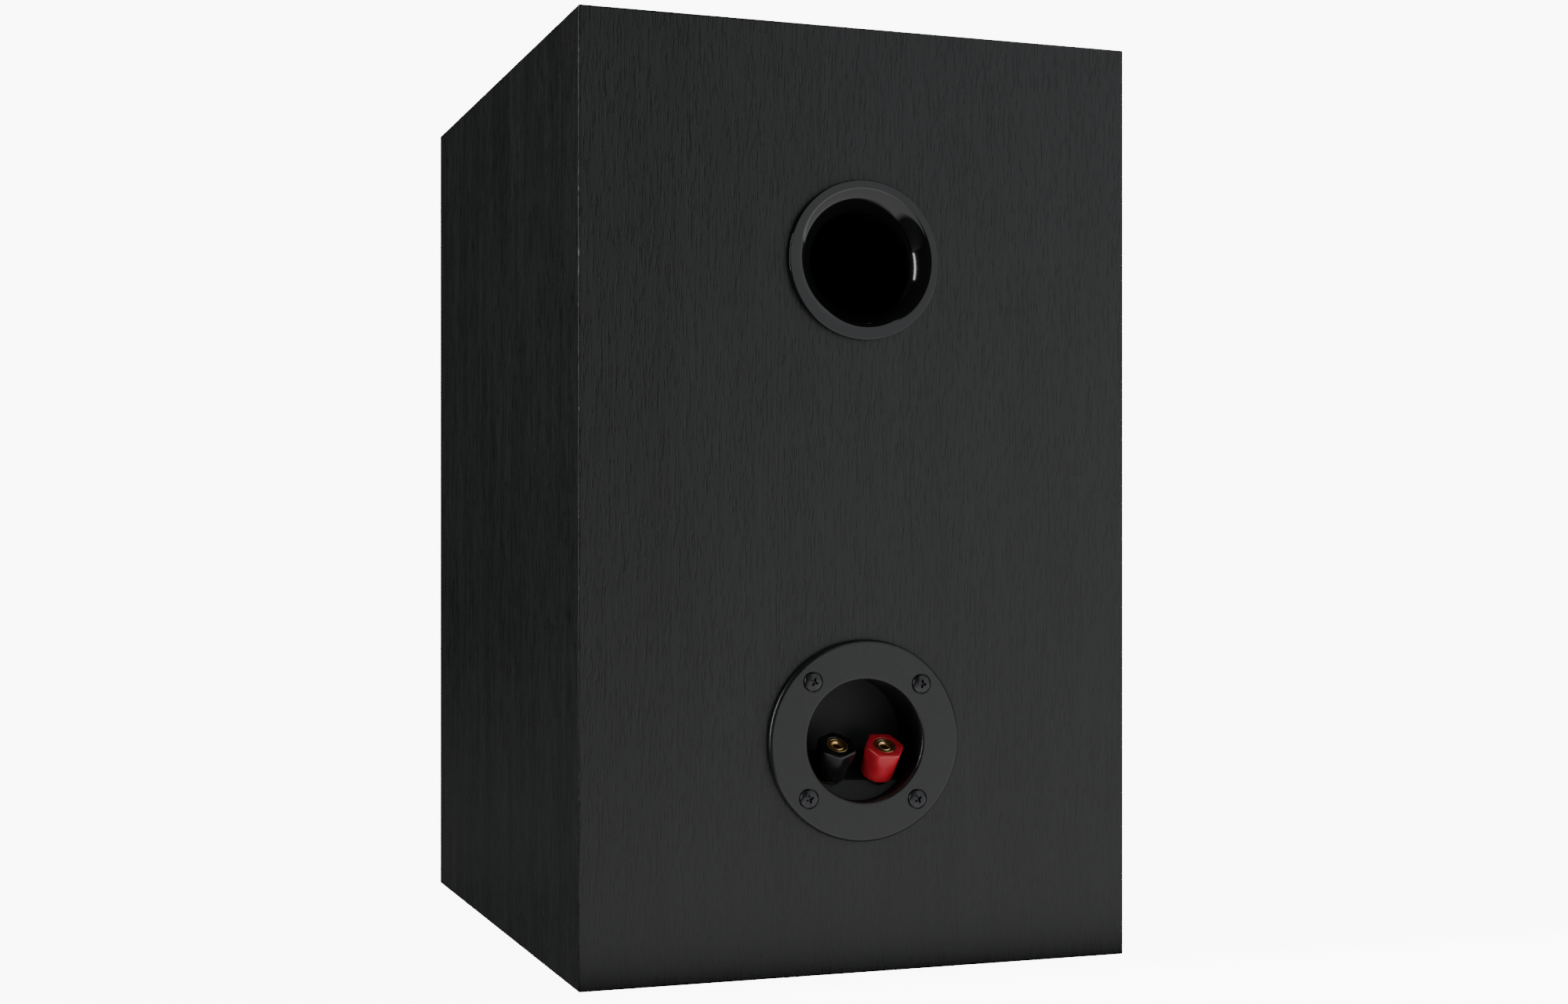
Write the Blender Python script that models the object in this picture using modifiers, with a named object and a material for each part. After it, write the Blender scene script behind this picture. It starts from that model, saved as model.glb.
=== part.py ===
"""Bookshelf speaker: a two-way cabinet with a rear port, built as separate pieces.

Six boards hold a woofer, a tweeter, a flared port, a round terminal cup with two binding posts,
a crossover with its leads, a foam lining and a grille that pulls off.
Units are metres, +Z is up, the front faces -Y, and the origin is the centre of the underside.
Outlines and routes are lists of millimetres, and MM turns them into metres.
"""
import math

import bmesh
import bpy
from mathutils import Matrix, Vector

MM = 0.001

# Cabinet
WIDTH = 219.1 * MM
DEPTH = 279.4 * MM
HEIGHT = 355.6 * MM
WALL = 16 * MM
BAFFLE = 19 * MM
GAP = 0.3 * MM                      # clearance between touching pieces
MITRE_GAP = 0.21 * MM               # the same clearance, measured along a board's face
FRONT_Y = -DEPTH / 2
REAR_Y = DEPTH / 2

# Rear fittings
PORT_Z = 268.1 * MM
PORT_HOLE = 25.5 * MM
CUP_Z = 87.5 * MM
CUP_TURN = math.radians(-2.2)       # the cup sits slightly turned in its hole
CUP_HOLE = 27.3 * MM
CUP_SCREW_SPREAD = 21.75 * MM       # each screw from the cup's centre, across and up
POST_SPREAD = 9.525 * MM            # half of the 3/4 inch spacing of banana plugs
POST_SEAT = (-9.8 * MM, -13.43 * MM)  # outwards and up from the cup's centre
POST_LEAN = math.radians(34)        # the posts lean outwards from the vertical

# Front fittings
WOOFER_Z = 112 * MM
WOOFER_SCREWS = 78.5 * MM
TWEETER_Z = 262 * MM
TWEETER_SCREWS = 41.7 * MM
PEG_X = 84 * MM
PEG_ZS = (28 * MM, 328 * MM)
PEG_RADIUS = 4 * MM
GRILLE_MARGIN = 5 * MM
GRILLE_THICKNESS = 12 * MM
GRILLE_STANDOFF = 0.5 * MM
CLOTH_THICKNESS = 0.8 * MM

# Inside
FOAM = 12 * MM
BOARD_LOW = 21.5 * MM
BOARD_TOP = 23.1 * MM
LEAD_RADIUS = 1.1 * MM

# Sides of round pieces
LARGE = 28
MEDIUM = 18
SMALL = 12
TINY = 8

# Colour, roughness and metallic value of each finish
FINISHES = {
    "black_vinyl": ((0.020, 0.021, 0.023), 0.45, 0.0),
    "raw_board": ((0.33, 0.22, 0.13), 0.85, 0.0),
    "gloss_plastic": ((0.012, 0.012, 0.013), 0.12, 0.0),
    "satin_plastic": ((0.022, 0.023, 0.024), 0.42, 0.0),
    "black_screw": ((0.020, 0.020, 0.022), 0.35, 0.6),
    "gold": ((0.83, 0.62, 0.30), 0.18, 1.0),
    "red_plastic": ((0.62, 0.010, 0.022), 0.30, 0.0),
    "black_plastic": ((0.010, 0.010, 0.011), 0.25, 0.0),
    "steel": ((0.55, 0.55, 0.56), 0.35, 1.0),
    "stamped_steel": ((0.030, 0.030, 0.032), 0.50, 0.3),
    "ferrite": ((0.045, 0.045, 0.050), 0.80, 0.0),
    "rubber": ((0.015, 0.015, 0.015), 0.70, 0.0),
    "paper": ((0.035, 0.035, 0.037), 0.80, 0.0),
    "spider_cloth": ((0.55, 0.38, 0.13), 0.90, 0.0),
    "copper": ((0.72, 0.32, 0.16), 0.30, 1.0),
    "silk": ((0.050, 0.050, 0.055), 0.60, 0.0),
    "circuit_board": ((0.10, 0.16, 0.07), 0.50, 0.0),
    "capacitor_film": ((0.55, 0.08, 0.03), 0.40, 0.0),
    "resistor_ceramic": ((0.75, 0.73, 0.68), 0.80, 0.0),
    "grille_fabric": ((0.012, 0.012, 0.013), 0.95, 0.0),
    "foam": ((0.09, 0.09, 0.10), 0.95, 0.0),
}

PARTS_NAME = "bookshelf_speaker"
CUTTERS_NAME = "cutters"


# Scene and placing

def clear_scene():
    """Removes every object and makes the two collections."""
    for obj in list(bpy.data.objects):
        bpy.data.objects.remove(obj)
    for name in (PARTS_NAME, CUTTERS_NAME):
        group = bpy.data.collections.new(name)
        bpy.context.scene.collection.children.link(group)


def add(name, data, frame=None, place=(0, 0, 0), turn=(0, 0, 0)):
    """Puts a new object in the parts' collection, placed in its frame."""
    obj = bpy.data.objects.new(name, data)
    bpy.data.collections[PARTS_NAME].objects.link(obj)
    obj.parent = frame
    obj.location = place
    obj.rotation_euler = turn
    return obj


def seat(name, place, turn=(0, 0, 0), parent=None):
    """An empty that holds a frame for the pieces placed in it."""
    return add(name, None, parent, place, turn)


def as_cutter(obj):
    """Hides an object that only shapes others."""
    bpy.data.collections[PARTS_NAME].objects.unlink(obj)
    bpy.data.collections[CUTTERS_NAME].objects.link(obj)
    obj.hide_render = True
    obj.display_type = "WIRE"
    return obj


def combine(target, tool, operation="DIFFERENCE"):
    """Cuts, joins or intersects the target with a tool, which becomes a cutter."""
    if tool.name in bpy.data.collections[PARTS_NAME].objects:
        as_cutter(tool)
    boolean = target.modifiers.new(tool.name, "BOOLEAN")
    boolean.operation = operation
    boolean.solver = "EXACT"
    boolean.object = tool
    return target


def paint(obj, finish):
    """Gives an object its own material in the named finish."""
    colour, roughness, metallic = FINISHES[finish]
    material = bpy.data.materials.new(f"{obj.name}_{finish}")
    material.use_nodes = True
    shader = material.node_tree.nodes["Principled BSDF"]
    shader.inputs["Base Color"].default_value = (*colour, 1)
    shader.inputs["Roughness"].default_value = roughness
    shader.inputs["Metallic"].default_value = metallic
    material.diffuse_color = (*colour, 1)
    obj.data.materials.clear()
    obj.data.materials.append(material)
    return obj


# Shapes

def weld(mesh):
    """Closes a mesh's seams and turns its faces outwards."""
    shape = bmesh.new()
    shape.from_mesh(mesh)
    bmesh.ops.remove_doubles(shape, verts=shape.verts, dist=0.001 * MM)
    bmesh.ops.recalc_face_normals(shape, faces=shape.faces)
    shape.to_mesh(mesh)
    shape.free()


def outline_mesh(name, outline):
    """The half outline of a turned shape. It is a loop unless it starts on the axis."""
    points = [(radius * MM, 0, height * MM) for radius, height in outline]
    edges = [(i, i + 1) for i in range(len(points) - 1)]
    mesh = bpy.data.meshes.new(name)
    mesh.from_pydata(points, edges, [])
    return mesh


def add_screw(obj, sides):
    """Turns an outline once round its local Z."""
    turning = obj.modifiers.new("turned", "SCREW")
    turning.steps = sides
    turning.render_steps = sides
    turning.use_merge_vertices = True
    turning.merge_threshold = 0.01 * MM
    turning.use_smooth_shade = True


def turned(name, outline, sides, frame=None, place=(0, 0, 0), turn=(0, 0, 0)):
    """A turned solid. The outline runs down its outer side, in millimetres of radius and height."""
    on_axis = outline[0][0] == 0
    loop = outline if on_axis else outline + outline[:1]
    mesh = outline_mesh(name, loop)
    if not on_axis:
        weld(mesh)
    obj = add(name, mesh, frame, place, turn)
    add_screw(obj, sides)
    return obj


def turned_shell(name, outline, thickness, sides, frame=None):
    """A thin turned wall, centred on its outline."""
    obj = add(name, outline_mesh(name, outline), frame)
    add_screw(obj, sides)
    wall = obj.modifiers.new("wall", "SOLIDIFY")
    wall.thickness = thickness * MM
    wall.offset = 0
    wall.use_even_offset = True
    return obj


def flat_shape(name, outlines, thickness, frame=None, place=(0, 0, 0), turn=(0, 0, 0)):
    """A flat piece centred on its local XY plane. Outlines inside the first are its openings."""
    curve = bpy.data.curves.new(name, "CURVE")
    curve.dimensions = "2D"
    curve.fill_mode = "BOTH"
    curve.extrude = thickness / 2
    for outline in outlines:
        spline = curve.splines.new("POLY")
        spline.points.add(len(outline) - 1)
        spline.use_cyclic_u = True
        for point, (across, up) in zip(spline.points, outline):
            point.co = (across * MM, up * MM, 0, 1)
    guide = add(f"{name}_outline", curve)
    graph = bpy.context.evaluated_depsgraph_get()
    mesh = bpy.data.meshes.new_from_object(guide.evaluated_get(graph))
    bpy.data.objects.remove(guide)
    weld(mesh)
    return add(name, mesh, frame, place, turn)


def box(name, size, frame=None, place=(0, 0, 0), turn=(0, 0, 0)):
    """A box centred on its place."""
    mesh = bpy.data.meshes.new(name)
    shape = bmesh.new()
    bmesh.ops.create_cube(shape, size=1, matrix=Matrix.Diagonal((*size, 1)))
    shape.to_mesh(mesh)
    shape.free()
    return add(name, mesh, frame, place, turn)


def rods(name, places, radius, low, high, sides, frame=None, place=(0, 0, 0), turn=(0, 0, 0)):
    """Parallel cylinders along local Z from low to high, in one mesh."""
    mesh = bpy.data.meshes.new(name)
    shape = bmesh.new()
    for across, up in places:
        centre = Matrix.Translation((across, up, (low + high) / 2))
        bmesh.ops.create_cone(shape, cap_ends=True, segments=sides, radius1=radius,
                              radius2=radius, depth=high - low, matrix=centre)
    shape.to_mesh(mesh)
    shape.free()
    return add(name, mesh, frame, place, turn)


def arc(across, up, radius, start, end, steps):
    """Points of a round stretch of an outline, from start to end degrees."""
    angles = [math.radians(start + (end - start) * i / steps) for i in range(steps + 1)]
    return [(across + radius * math.cos(a), up + radius * math.sin(a)) for a in angles]


def rounded_window(half_width, low, high, low_radius, high_radius, steps=4):
    """The outline of an upright opening with two radii at its corners."""
    low_in, high_in = half_width - low_radius, half_width - high_radius
    outline = arc(low_in, low + low_radius, low_radius, -90, 0, steps)
    outline += arc(high_in, high - high_radius, high_radius, 0, 90, steps)
    outline += arc(-high_in, high - high_radius, high_radius, 90, 180, steps)
    outline += arc(-low_in, low + low_radius, low_radius, 180, 270, steps)
    return outline


def diagonals(radius):
    """Four places on a circle, half way between the axes."""
    side = radius / math.sqrt(2)
    return [(-side, -side), (side, -side), (side, side), (-side, side)]


def smooth_route(points, spacing=11):
    """A smooth curve through the points, in millimetres, with a point about every spacing."""
    knots = [Vector(p) for p in points]
    ends = [2 * knots[0] - knots[1]] + knots + [2 * knots[-1] - knots[-2]]
    route = [knots[0]]
    for before, start, end, after in zip(ends, ends[1:], ends[2:], ends[3:]):
        steps = max(1, round((end - start).length / spacing))
        for i in range(1, steps + 1):
            t = i / steps
            route.append(0.5 * (2 * start + (end - before) * t
                                + (2 * before - 5 * start + 4 * end - after) * t ** 2
                                + (3 * start - before - 3 * end + after) * t ** 3))
    return route


def wire(name, points, finish):
    """A flexible lead along a route."""
    curve = bpy.data.curves.new(name, "CURVE")
    curve.dimensions = "3D"
    curve.bevel_depth = LEAD_RADIUS
    curve.bevel_resolution = 2
    curve.use_fill_caps = True
    route = smooth_route(points)
    spline = curve.splines.new("POLY")
    spline.points.add(len(route) - 1)
    for point, place in zip(spline.points, route):
        point.co = (*(place * MM), 1)
    return paint(add(name, curve), finish)


# Cabinet

def board(name, centre, turn, across, along, square_front):
    """A mitred board. Local Z faces out, and the edges are mitred at 45 degrees.

    With a square front, the edge at local -Y is cut square instead.
    """
    obj = box(name, (across, along, WALL), None, centre, turn)
    for vertex in obj.data.vertices:
        outer = vertex.co.z > 0
        inset = MITRE_GAP if outer else WALL + MITRE_GAP
        vertex.co.x -= math.copysign(inset, vertex.co.x)
        if vertex.co.y > 0 or not square_front:
            vertex.co.y -= math.copysign(inset, vertex.co.y)
        vertex.co.z = 0 if outer else -WALL
    return paint(obj, "black_vinyl")


def build_boards():
    """Five mitred outer boards."""
    quarter, middle = math.pi / 2, HEIGHT / 2
    board("right_panel", (WIDTH / 2, 0, middle), (0, quarter, 0), HEIGHT, DEPTH, True)
    board("left_panel", (-WIDTH / 2, 0, middle), (0, -quarter, 0), HEIGHT, DEPTH, True)
    board("top_panel", (0, 0, HEIGHT), (0, 0, 0), WIDTH, DEPTH, True)
    board("bottom_panel", (0, 0, 0), (0, math.pi, 0), WIDTH, DEPTH, True)
    return board("rear_panel", (0, REAR_Y, middle), (-quarter, 0, 0), WIDTH, HEIGHT, False)


def build_baffle(woofer_seat, tweeter_seat, front_seat):
    """The front board, with rebated cutouts for the drivers and blind holes for the grille pegs."""
    size = (WIDTH - 2 * (WALL + GAP), BAFFLE, HEIGHT - 2 * (WALL + GAP))
    baffle = box("front_baffle", size, None, (0, FRONT_Y + BAFFLE / 2, HEIGHT / 2))
    woofer_cut = [(0, 2), (83.5, 2), (83.5, -4.3), (73.5, -4.3), (73.5, -21), (0, -21)]
    tweeter_cut = [(0, 2), (47.5, 2), (47.5, -4.3), (36, -4.3), (36, -21), (0, -21)]
    combine(baffle, turned("woofer_cutout", woofer_cut, LARGE, woofer_seat))
    combine(baffle, turned("tweeter_cutout", tweeter_cut, LARGE, tweeter_seat))
    for name, radius, pilot, frame in (("woofer", WOOFER_SCREWS, 2.05 * MM, woofer_seat),
                                       ("tweeter", TWEETER_SCREWS, 1.9 * MM, tweeter_seat)):
        combine(baffle, rods(f"{name}_pilots", diagonals(radius), pilot,
                             -18 * MM, -3 * MM, TINY, frame))
    pegs = [(x, z) for x in (-PEG_X, PEG_X) for z in PEG_ZS]
    combine(baffle, rods("peg_holes", pegs, PEG_RADIUS + 0.4 * MM, -11 * MM, 1 * MM,
                         SMALL, front_seat))
    return paint(baffle, "raw_board")


def build_foam():
    """The lining under the top and down both sides."""
    outer = (WIDTH / 2 - WALL - GAP) / MM
    inner = outer - FOAM / MM
    top = (HEIGHT - WALL - GAP) / MM
    low, corner = 40, 8
    ceiling = top - FOAM / MM
    outline = [(-outer, low), (-inner, low)]
    outline += arc(corner - inner, ceiling - corner, corner, 180, 90, 3)
    outline += arc(inner - corner, ceiling - corner, corner, 90, 0, 3)
    outline += [(inner, low), (outer, low), (outer, top), (-outer, top)]
    front, back = -95 * MM, 110 * MM
    foam = flat_shape("foam_lining", [outline], back - front, None,
                      (0, (front + back) / 2, 0), (math.pi / 2, 0, 0))
    return paint(foam, "foam")


# Fasteners

def cross_outline(reach, half_width):
    """A cross in millimetres whose arms taper, for a screw's recess."""
    tip = 0.7 * half_width
    quarter = [(reach, -tip), (reach, tip), (half_width, half_width)]
    outline = []
    for turn in range(4):
        for across, up in quarter:
            outline.append((across, up))
        quarter = [(-up, across) for across, up in quarter]
    return outline


def pan_screw(name, frame, place, under, head, shaft):
    """A pan-head screw. Under is the height of the head's underside, in millimetres."""
    head_radius, head_height = head
    shaft_radius, shaft_length = shaft
    top = under + head_height
    tip = under - shaft_length
    outline = [(0, top), (0.65 * head_radius, top), (head_radius, top - 0.5 * head_height),
               (head_radius, under), (shaft_radius, under),
               (shaft_radius, tip + 1.5 * shaft_radius), (0, tip)]
    return paint(turned(name, outline, SMALL, frame, (*place, 0)), "black_screw")


def cut_recess(screw, top, head):
    """Cuts a cross into a screw's head, whose top is at the given height in millimetres."""
    head_radius, head_height = head
    depth = 0.65 * head_height * MM
    outline = cross_outline(0.5 * head_radius, 0.14 * head_radius)
    x, y, _ = screw.location
    combine(screw, flat_shape(f"{screw.name}_recess", [outline], 2 * depth, screw.parent,
                              (x, y, top * MM)))


# Port and terminal cup

def build_port(rear_panel):
    """The flared tube of the bass port, glued into the rear board."""
    port_seat = seat("port_seat", (0, REAR_Y, PORT_Z), (-math.pi / 2, 0, 0))
    bore, lip, face, rim, length = 19, 9, 2.2, 9.5, 98
    flare = [(bore + lip - lip * math.sin(a), face - rim * (1 - math.cos(a)))
             for a in (math.radians(90 - 22.5 * i) for i in range(5))]
    outline = flare + [(29.2, face), (30, 1.4), (30, 0.3), (25.2, 0.3),
                       (25.2, -14), (21.2, -14), (21.2, -length), (bore, -length)]
    paint(turned("port_tube", outline, LARGE, port_seat), "gloss_plastic")
    combine(rear_panel, rods("port_hole", [(0, 0)], PORT_HOLE, -WALL - 1 * MM, 1 * MM,
                             LARGE, port_seat))


def cup_prism(name, outline, cup_seat):
    """A cutter as wide as the cup, from an outline of outward and upward millimetres."""
    facing_side = (math.pi / 2, 0, -math.pi / 2)
    return flat_shape(name, [[(-out, up) for out, up in outline]], 70 * MM, cup_seat,
                      (0, 0, 0), facing_side)


def build_cup(cup_seat, cup_face):
    """The terminal cup: a flange, a recess over a sloping platform, and an open space below it."""
    body = [(0, 2.7), (37.2, 2.7), (38, 1.9), (38, 0.3), (27, 0.3), (27, -24), (0, -24)]
    cup = turned("terminal_cup", body, LARGE, cup_face)
    recess = turned("cup_recess", [(0, 3.5), (24.6, 3.5), (23, 1.9), (23, -22), (0, -22)],
                    LARGE, cup_face)
    floor = [(5, 26), (5, -26), (-3.3, -26), (-6.8, -15.45), (-22.6, -4.79), (-22.6, 26)]
    combine(recess, cup_prism("cup_floor", floor, cup_seat), "INTERSECT")
    combine(cup, recess)
    under = turned("cup_under", [(0, -2), (29, -2), (29, -27), (0, -27)], LARGE, cup_face)
    below = [(-8.1, -18.2), (-4.71, -28), (-26.5, -28), (-26.5, -5.79)]
    combine(under, cup_prism("cup_below", below, cup_seat), "INTERSECT")
    combine(cup, under)
    corners = diagonals(CUP_SCREW_SPREAD * math.sqrt(2))
    combine(cup, rods("cup_counterbores", corners, 3.9 * MM, 1.7 * MM, 4 * MM, SMALL, cup_face))
    combine(cup, rods("cup_screw_holes", corners, 2 * MM, -1 * MM, 3 * MM, SMALL, cup_face))
    return paint(cup, "satin_plastic")


def build_terminal_screws(cup_face, rear_panel):
    """Four screws that hold the cup, and their pilot holes."""
    corners = diagonals(CUP_SCREW_SPREAD * math.sqrt(2))
    head, under = (3.3, 1.9), 2.0
    for number, corner in enumerate(corners, start=1):
        screw = pan_screw(f"terminal_screw_{number}", cup_face, corner, under, head, (1.6, 13))
        cut_recess(screw, under + head[1], head)
    combine(rear_panel, rods("cup_pilots", corners, 1.9 * MM, -13 * MM, 1 * MM, TINY, cup_face))


# Binding posts

def hexagon(radius):
    """A hexagon in millimetres with a corner on local X."""
    return [(radius * math.cos(math.radians(60 * i)), radius * math.sin(math.radians(60 * i)))
            for i in range(6)]


def cap_ring(shape, height, inner, corner, turn, sides=18):
    """One ring of the cap. Corner runs from 0, a circle, to 1, a hexagon round that circle."""
    ring = []
    for i in range(sides):
        angle = 2 * math.pi * i / sides
        off_flat = (angle - turn) % (math.pi / 3) - math.pi / 6
        radius = inner * (1 + corner * (1 / math.cos(off_flat) - 1))
        ring.append(shape.verts.new((radius * math.cos(angle) * MM,
                                     radius * math.sin(angle) * MM, height * MM)))
    return ring


def cap_mesh(name, turn):
    """A cap that is round at its foot and hexagonal at its top, with a bore right through."""
    rings = [(1.8, 4.3, 0), (1.8, 5.9, 0), (2.4, 6.3, 0), (8.0, 6.7, 0.5), (13.2, 7.0, 0.95),
             (14.0, 6.4, 0.9), (14.0, 4.3, 0)]
    shape = bmesh.new()
    loops = [cap_ring(shape, *ring, turn) for ring in rings]
    for lower, upper in zip(loops, loops[1:] + loops[:1]):
        for i in range(len(lower)):
            shape.faces.new((lower[i - 1], lower[i], upper[i], upper[i - 1]))
    bmesh.ops.recalc_face_normals(shape, faces=shape.faces)
    mesh = bpy.data.meshes.new(name)
    shape.to_mesh(mesh)
    shape.free()
    return mesh


def build_stem(colour, post_seat):
    """The gilt stem: a 4 mm socket, a foot in the platform, a wire hole and a flat for the washer."""
    outline = [(0, 2), (2, 2), (2, 12.8), (2.4, 13.3), (2.7, 13.3), (2.9, 13.1), (2.9, 0.2),
               (4.8, 0.2), (4.8, -1.2), (2.9, -1.2), (2.9, -9), (0, -9)]
    stem = turned(f"{colour}_post_stem", outline, SMALL, post_seat)
    combine(stem, rods(f"{colour}_wire_hole", [(0, 0)], 1.1 * MM, -6 * MM, 6 * MM, TINY,
                       post_seat, (0, 0, 3.4 * MM), (0, math.pi / 2, 0)))
    flat_depth = 2.5 * MM
    combine(stem, box(f"{colour}_stem_flat", (8 * MM, 2 * MM, 16 * MM), post_seat,
                      (0, -flat_depth - 1 * MM, 8.5 * MM)))
    return paint(stem, "gold")


def build_washer(colour, post_seat):
    """The clamp washer, whose flat keys it to the stem, so that it slides and doesn't turn."""
    bore, key = 3.2, 2.8
    edge = math.degrees(math.asin(key / bore))
    outline = arc(0, 0, bore, -edge, 180 + edge, 10)
    rim = arc(0, 0, 5.6, 0, 340, 17)
    washer = flat_shape(f"{colour}_clamp_washer", [rim, outline], 1 * MM, post_seat,
                        (0, 0, 1.0 * MM))
    return paint(washer, "gold")


def build_post(colour, side, turn, cap_finish, cup_seat, cup):
    """One binding post. Its pieces share a frame whose local Z is the post's axis."""
    out, up = POST_SEAT
    post_seat = seat(f"{colour}_post_seat", (side * POST_SPREAD, out, up), (-POST_LEAN, 0, 0),
                     cup_seat)
    build_stem(colour, post_seat)
    build_washer(colour, post_seat)
    paint(add(f"{colour}_post_cap", cap_mesh(f"{colour}_post_cap", turn), post_seat), cap_finish)
    insert = turned(f"{colour}_cap_insert", [(3.2, 13.2), (4, 13.2), (4, 2.2), (3.2, 2.2)],
                    SMALL, post_seat)
    paint(insert, "gold")
    nut = flat_shape(f"{colour}_post_nut", [hexagon(4.4), arc(0, 0, 3.2, 0, 330, 11)], 3 * MM,
                     post_seat, (0, 0, -4.8 * MM))
    paint(nut, "steel")
    combine(cup, rods(f"{colour}_platform_hole", [(0, 0)], 3.3 * MM, -6 * MM, 3 * MM, SMALL,
                      post_seat))
    combine(cup, rods(f"{colour}_foot_rebate", [(0, 0)], 5.2 * MM, -1.5 * MM, 1 * MM, SMALL,
                      post_seat))


# Woofer

def cone_depth(radius):
    """Depth of the woofer's cone behind the baffle's face, in millimetres."""
    return 2.7 + 27.3 * ((55 - radius) / 40.8) ** 0.9


def behind(outline):
    """Turns depths behind the front into heights of the driver's own frame."""
    return [(radius, -depth) for radius, depth in outline]


def build_basket(woofer_seat):
    """The stamped frame, with six windows in its conical wall."""
    outline = behind([(70, 2.2), (76.5, 2.2), (76.5, 0), (82.4, 0), (83, 0.6), (83, 4), (72.8, 4),
                      (72.8, 12), (46, 43), (46, 54.4), (16, 54.4), (16, 52.2), (43.6, 52.2),
                      (43.6, 44.2), (36, 44.2), (36, 42), (44.2, 42), (70, 12.2)])
    basket = turned("woofer_basket", outline, LARGE, woofer_seat)
    for number in range(3):
        windows = box(f"basket_windows_{number}", (160 * MM, 34 * MM, 22 * MM), woofer_seat,
                      (0, 0, -27 * MM), (0, 0, math.radians(60 * number)))
        combine(basket, windows)
    combine(basket, rods("basket_screw_holes", diagonals(WOOFER_SCREWS), 2.1 * MM, -6 * MM,
                         2 * MM, TINY, woofer_seat))
    return paint(basket, "stamped_steel")


def build_suspension(woofer_seat):
    """The rubber surround and the pleated spider."""
    roll = arc(64.1, -1.55, 5.5, 0, 180, 6)
    outline = [(76.2, -1.55)] + roll + [(55.3, -1.55)]
    paint(turned_shell("woofer_surround", outline, 0.7, LARGE, woofer_seat), "rubber")
    inner, outer, waves = 16, 37, 3
    pitch = (outer - inner) / waves
    pleats = []
    for i in range(waves):
        start = inner + i * pitch
        pleats += [(start + 0.25 * pitch, 42.3), (start + 0.75 * pitch, 39.2)]
    outline = behind([(14, 40.6), (inner, 40.6)] + pleats + [(outer, 41.2), (42, 41.2)])
    paint(turned_shell("woofer_spider", outline, 0.5, MEDIUM, woofer_seat), "spider_cloth")


def build_diaphragm(diaphragm_seat):
    """The cone, dust cap and voice coil, which move together."""
    radii = [55, 45, 34, 24, 17]
    outline = [(58.2, 2.7)] + [(r, cone_depth(r)) for r in radii] + [(14.2, 30), (14.2, 33)]
    paint(turned_shell("woofer_cone", behind(outline), 0.9, LARGE, diaphragm_seat), "paper")
    edge, crown, rim = 26.5, 12.5, 20.7
    ball = (edge ** 2 + (rim - crown) ** 2) / (2 * (rim - crown))
    cap = [(r, crown + ball - math.sqrt(ball ** 2 - r ** 2)) for r in (0, 8, 15, 21, edge)]
    paint(turned_shell("woofer_dust_cap", behind(cap), 0.7, MEDIUM, diaphragm_seat), "paper")
    coil = behind([(12.4, 27), (13.2, 27), (13.2, 50), (13.75, 50), (13.75, 61), (13.2, 61),
                   (13.2, 62), (12.4, 62)])
    paint(turned("woofer_voice_coil", coil, MEDIUM, diaphragm_seat), "copper")


def build_woofer(woofer_seat):
    """The woofer: basket, suspension, diaphragm and motor."""
    build_basket(woofer_seat)
    build_suspension(woofer_seat)
    build_diaphragm(seat("woofer_diaphragm_seat", (0, 0, 0), (0, 0, 0), woofer_seat))
    plate = behind([(14.3, 54.7), (45, 54.7), (45, 60.7), (14.3, 60.7)])
    magnet = behind([(26, 61), (50, 61), (50, 79), (26, 79)])
    yoke = behind([(0, 54.7), (11.8, 54.7), (11.8, 79.3), (45, 79.3), (45, 85.3), (0, 85.3)])
    paint(turned("woofer_top_plate", plate, MEDIUM, woofer_seat), "steel")
    paint(turned("woofer_magnet", magnet, MEDIUM, woofer_seat), "ferrite")
    paint(turned("woofer_yoke", yoke, MEDIUM, woofer_seat), "steel")
    for number, corner in enumerate(diagonals(WOOFER_SCREWS), start=1):
        pan_screw(f"woofer_screw_{number}", woofer_seat, corner, 0.3, (3.5, 2.2), (1.7, 17))


# Tweeter

def build_faceplate(tweeter_seat):
    """The plate round the dome, with a shallow horn."""
    horn = [(18.2 + 11.8 * math.sin(a), 3.2 - 2.6 * (1 - math.cos(a)))
            for a in (math.radians(30 * i) for i in range(4))]
    outline = behind(horn + [(31, 0), (46.5, 0), (47, 0.5), (47, 4), (35.2, 4), (35.2, 8),
                             (20.7, 8), (20.7, 5.2), (18.2, 5.2)])
    plate = turned("tweeter_faceplate", outline, LARGE, tweeter_seat)
    combine(plate, rods("faceplate_holes", diagonals(TWEETER_SCREWS), 1.9 * MM, -6 * MM, 2 * MM,
                        TINY, tweeter_seat))
    return paint(plate, "satin_plastic")


def build_dome(tweeter_seat):
    """The soft dome with its coil former, and the small surround that carries it."""
    edge, crown, rim = 13, 1.4, 6.6
    ball = (edge ** 2 + (rim - crown) ** 2) / (2 * (rim - crown))
    dome = [(r, crown + ball - math.sqrt(ball ** 2 - r ** 2)) for r in (0, 5, 9.5, edge)]
    dome_seat = seat("tweeter_dome_seat", (0, 0, 0), (0, 0, 0), tweeter_seat)
    paint(turned_shell("tweeter_dome", behind(dome + [(edge, 14)]), 0.4, MEDIUM, dome_seat),
          "silk")
    roll = arc(15.4, -5.8, 1.5, 0, 180, 4)
    outline = [(20.2, -5.8)] + roll + [(13.5, -5.8)]
    paint(turned_shell("tweeter_surround", outline, 0.4, MEDIUM, tweeter_seat), "silk")


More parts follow.
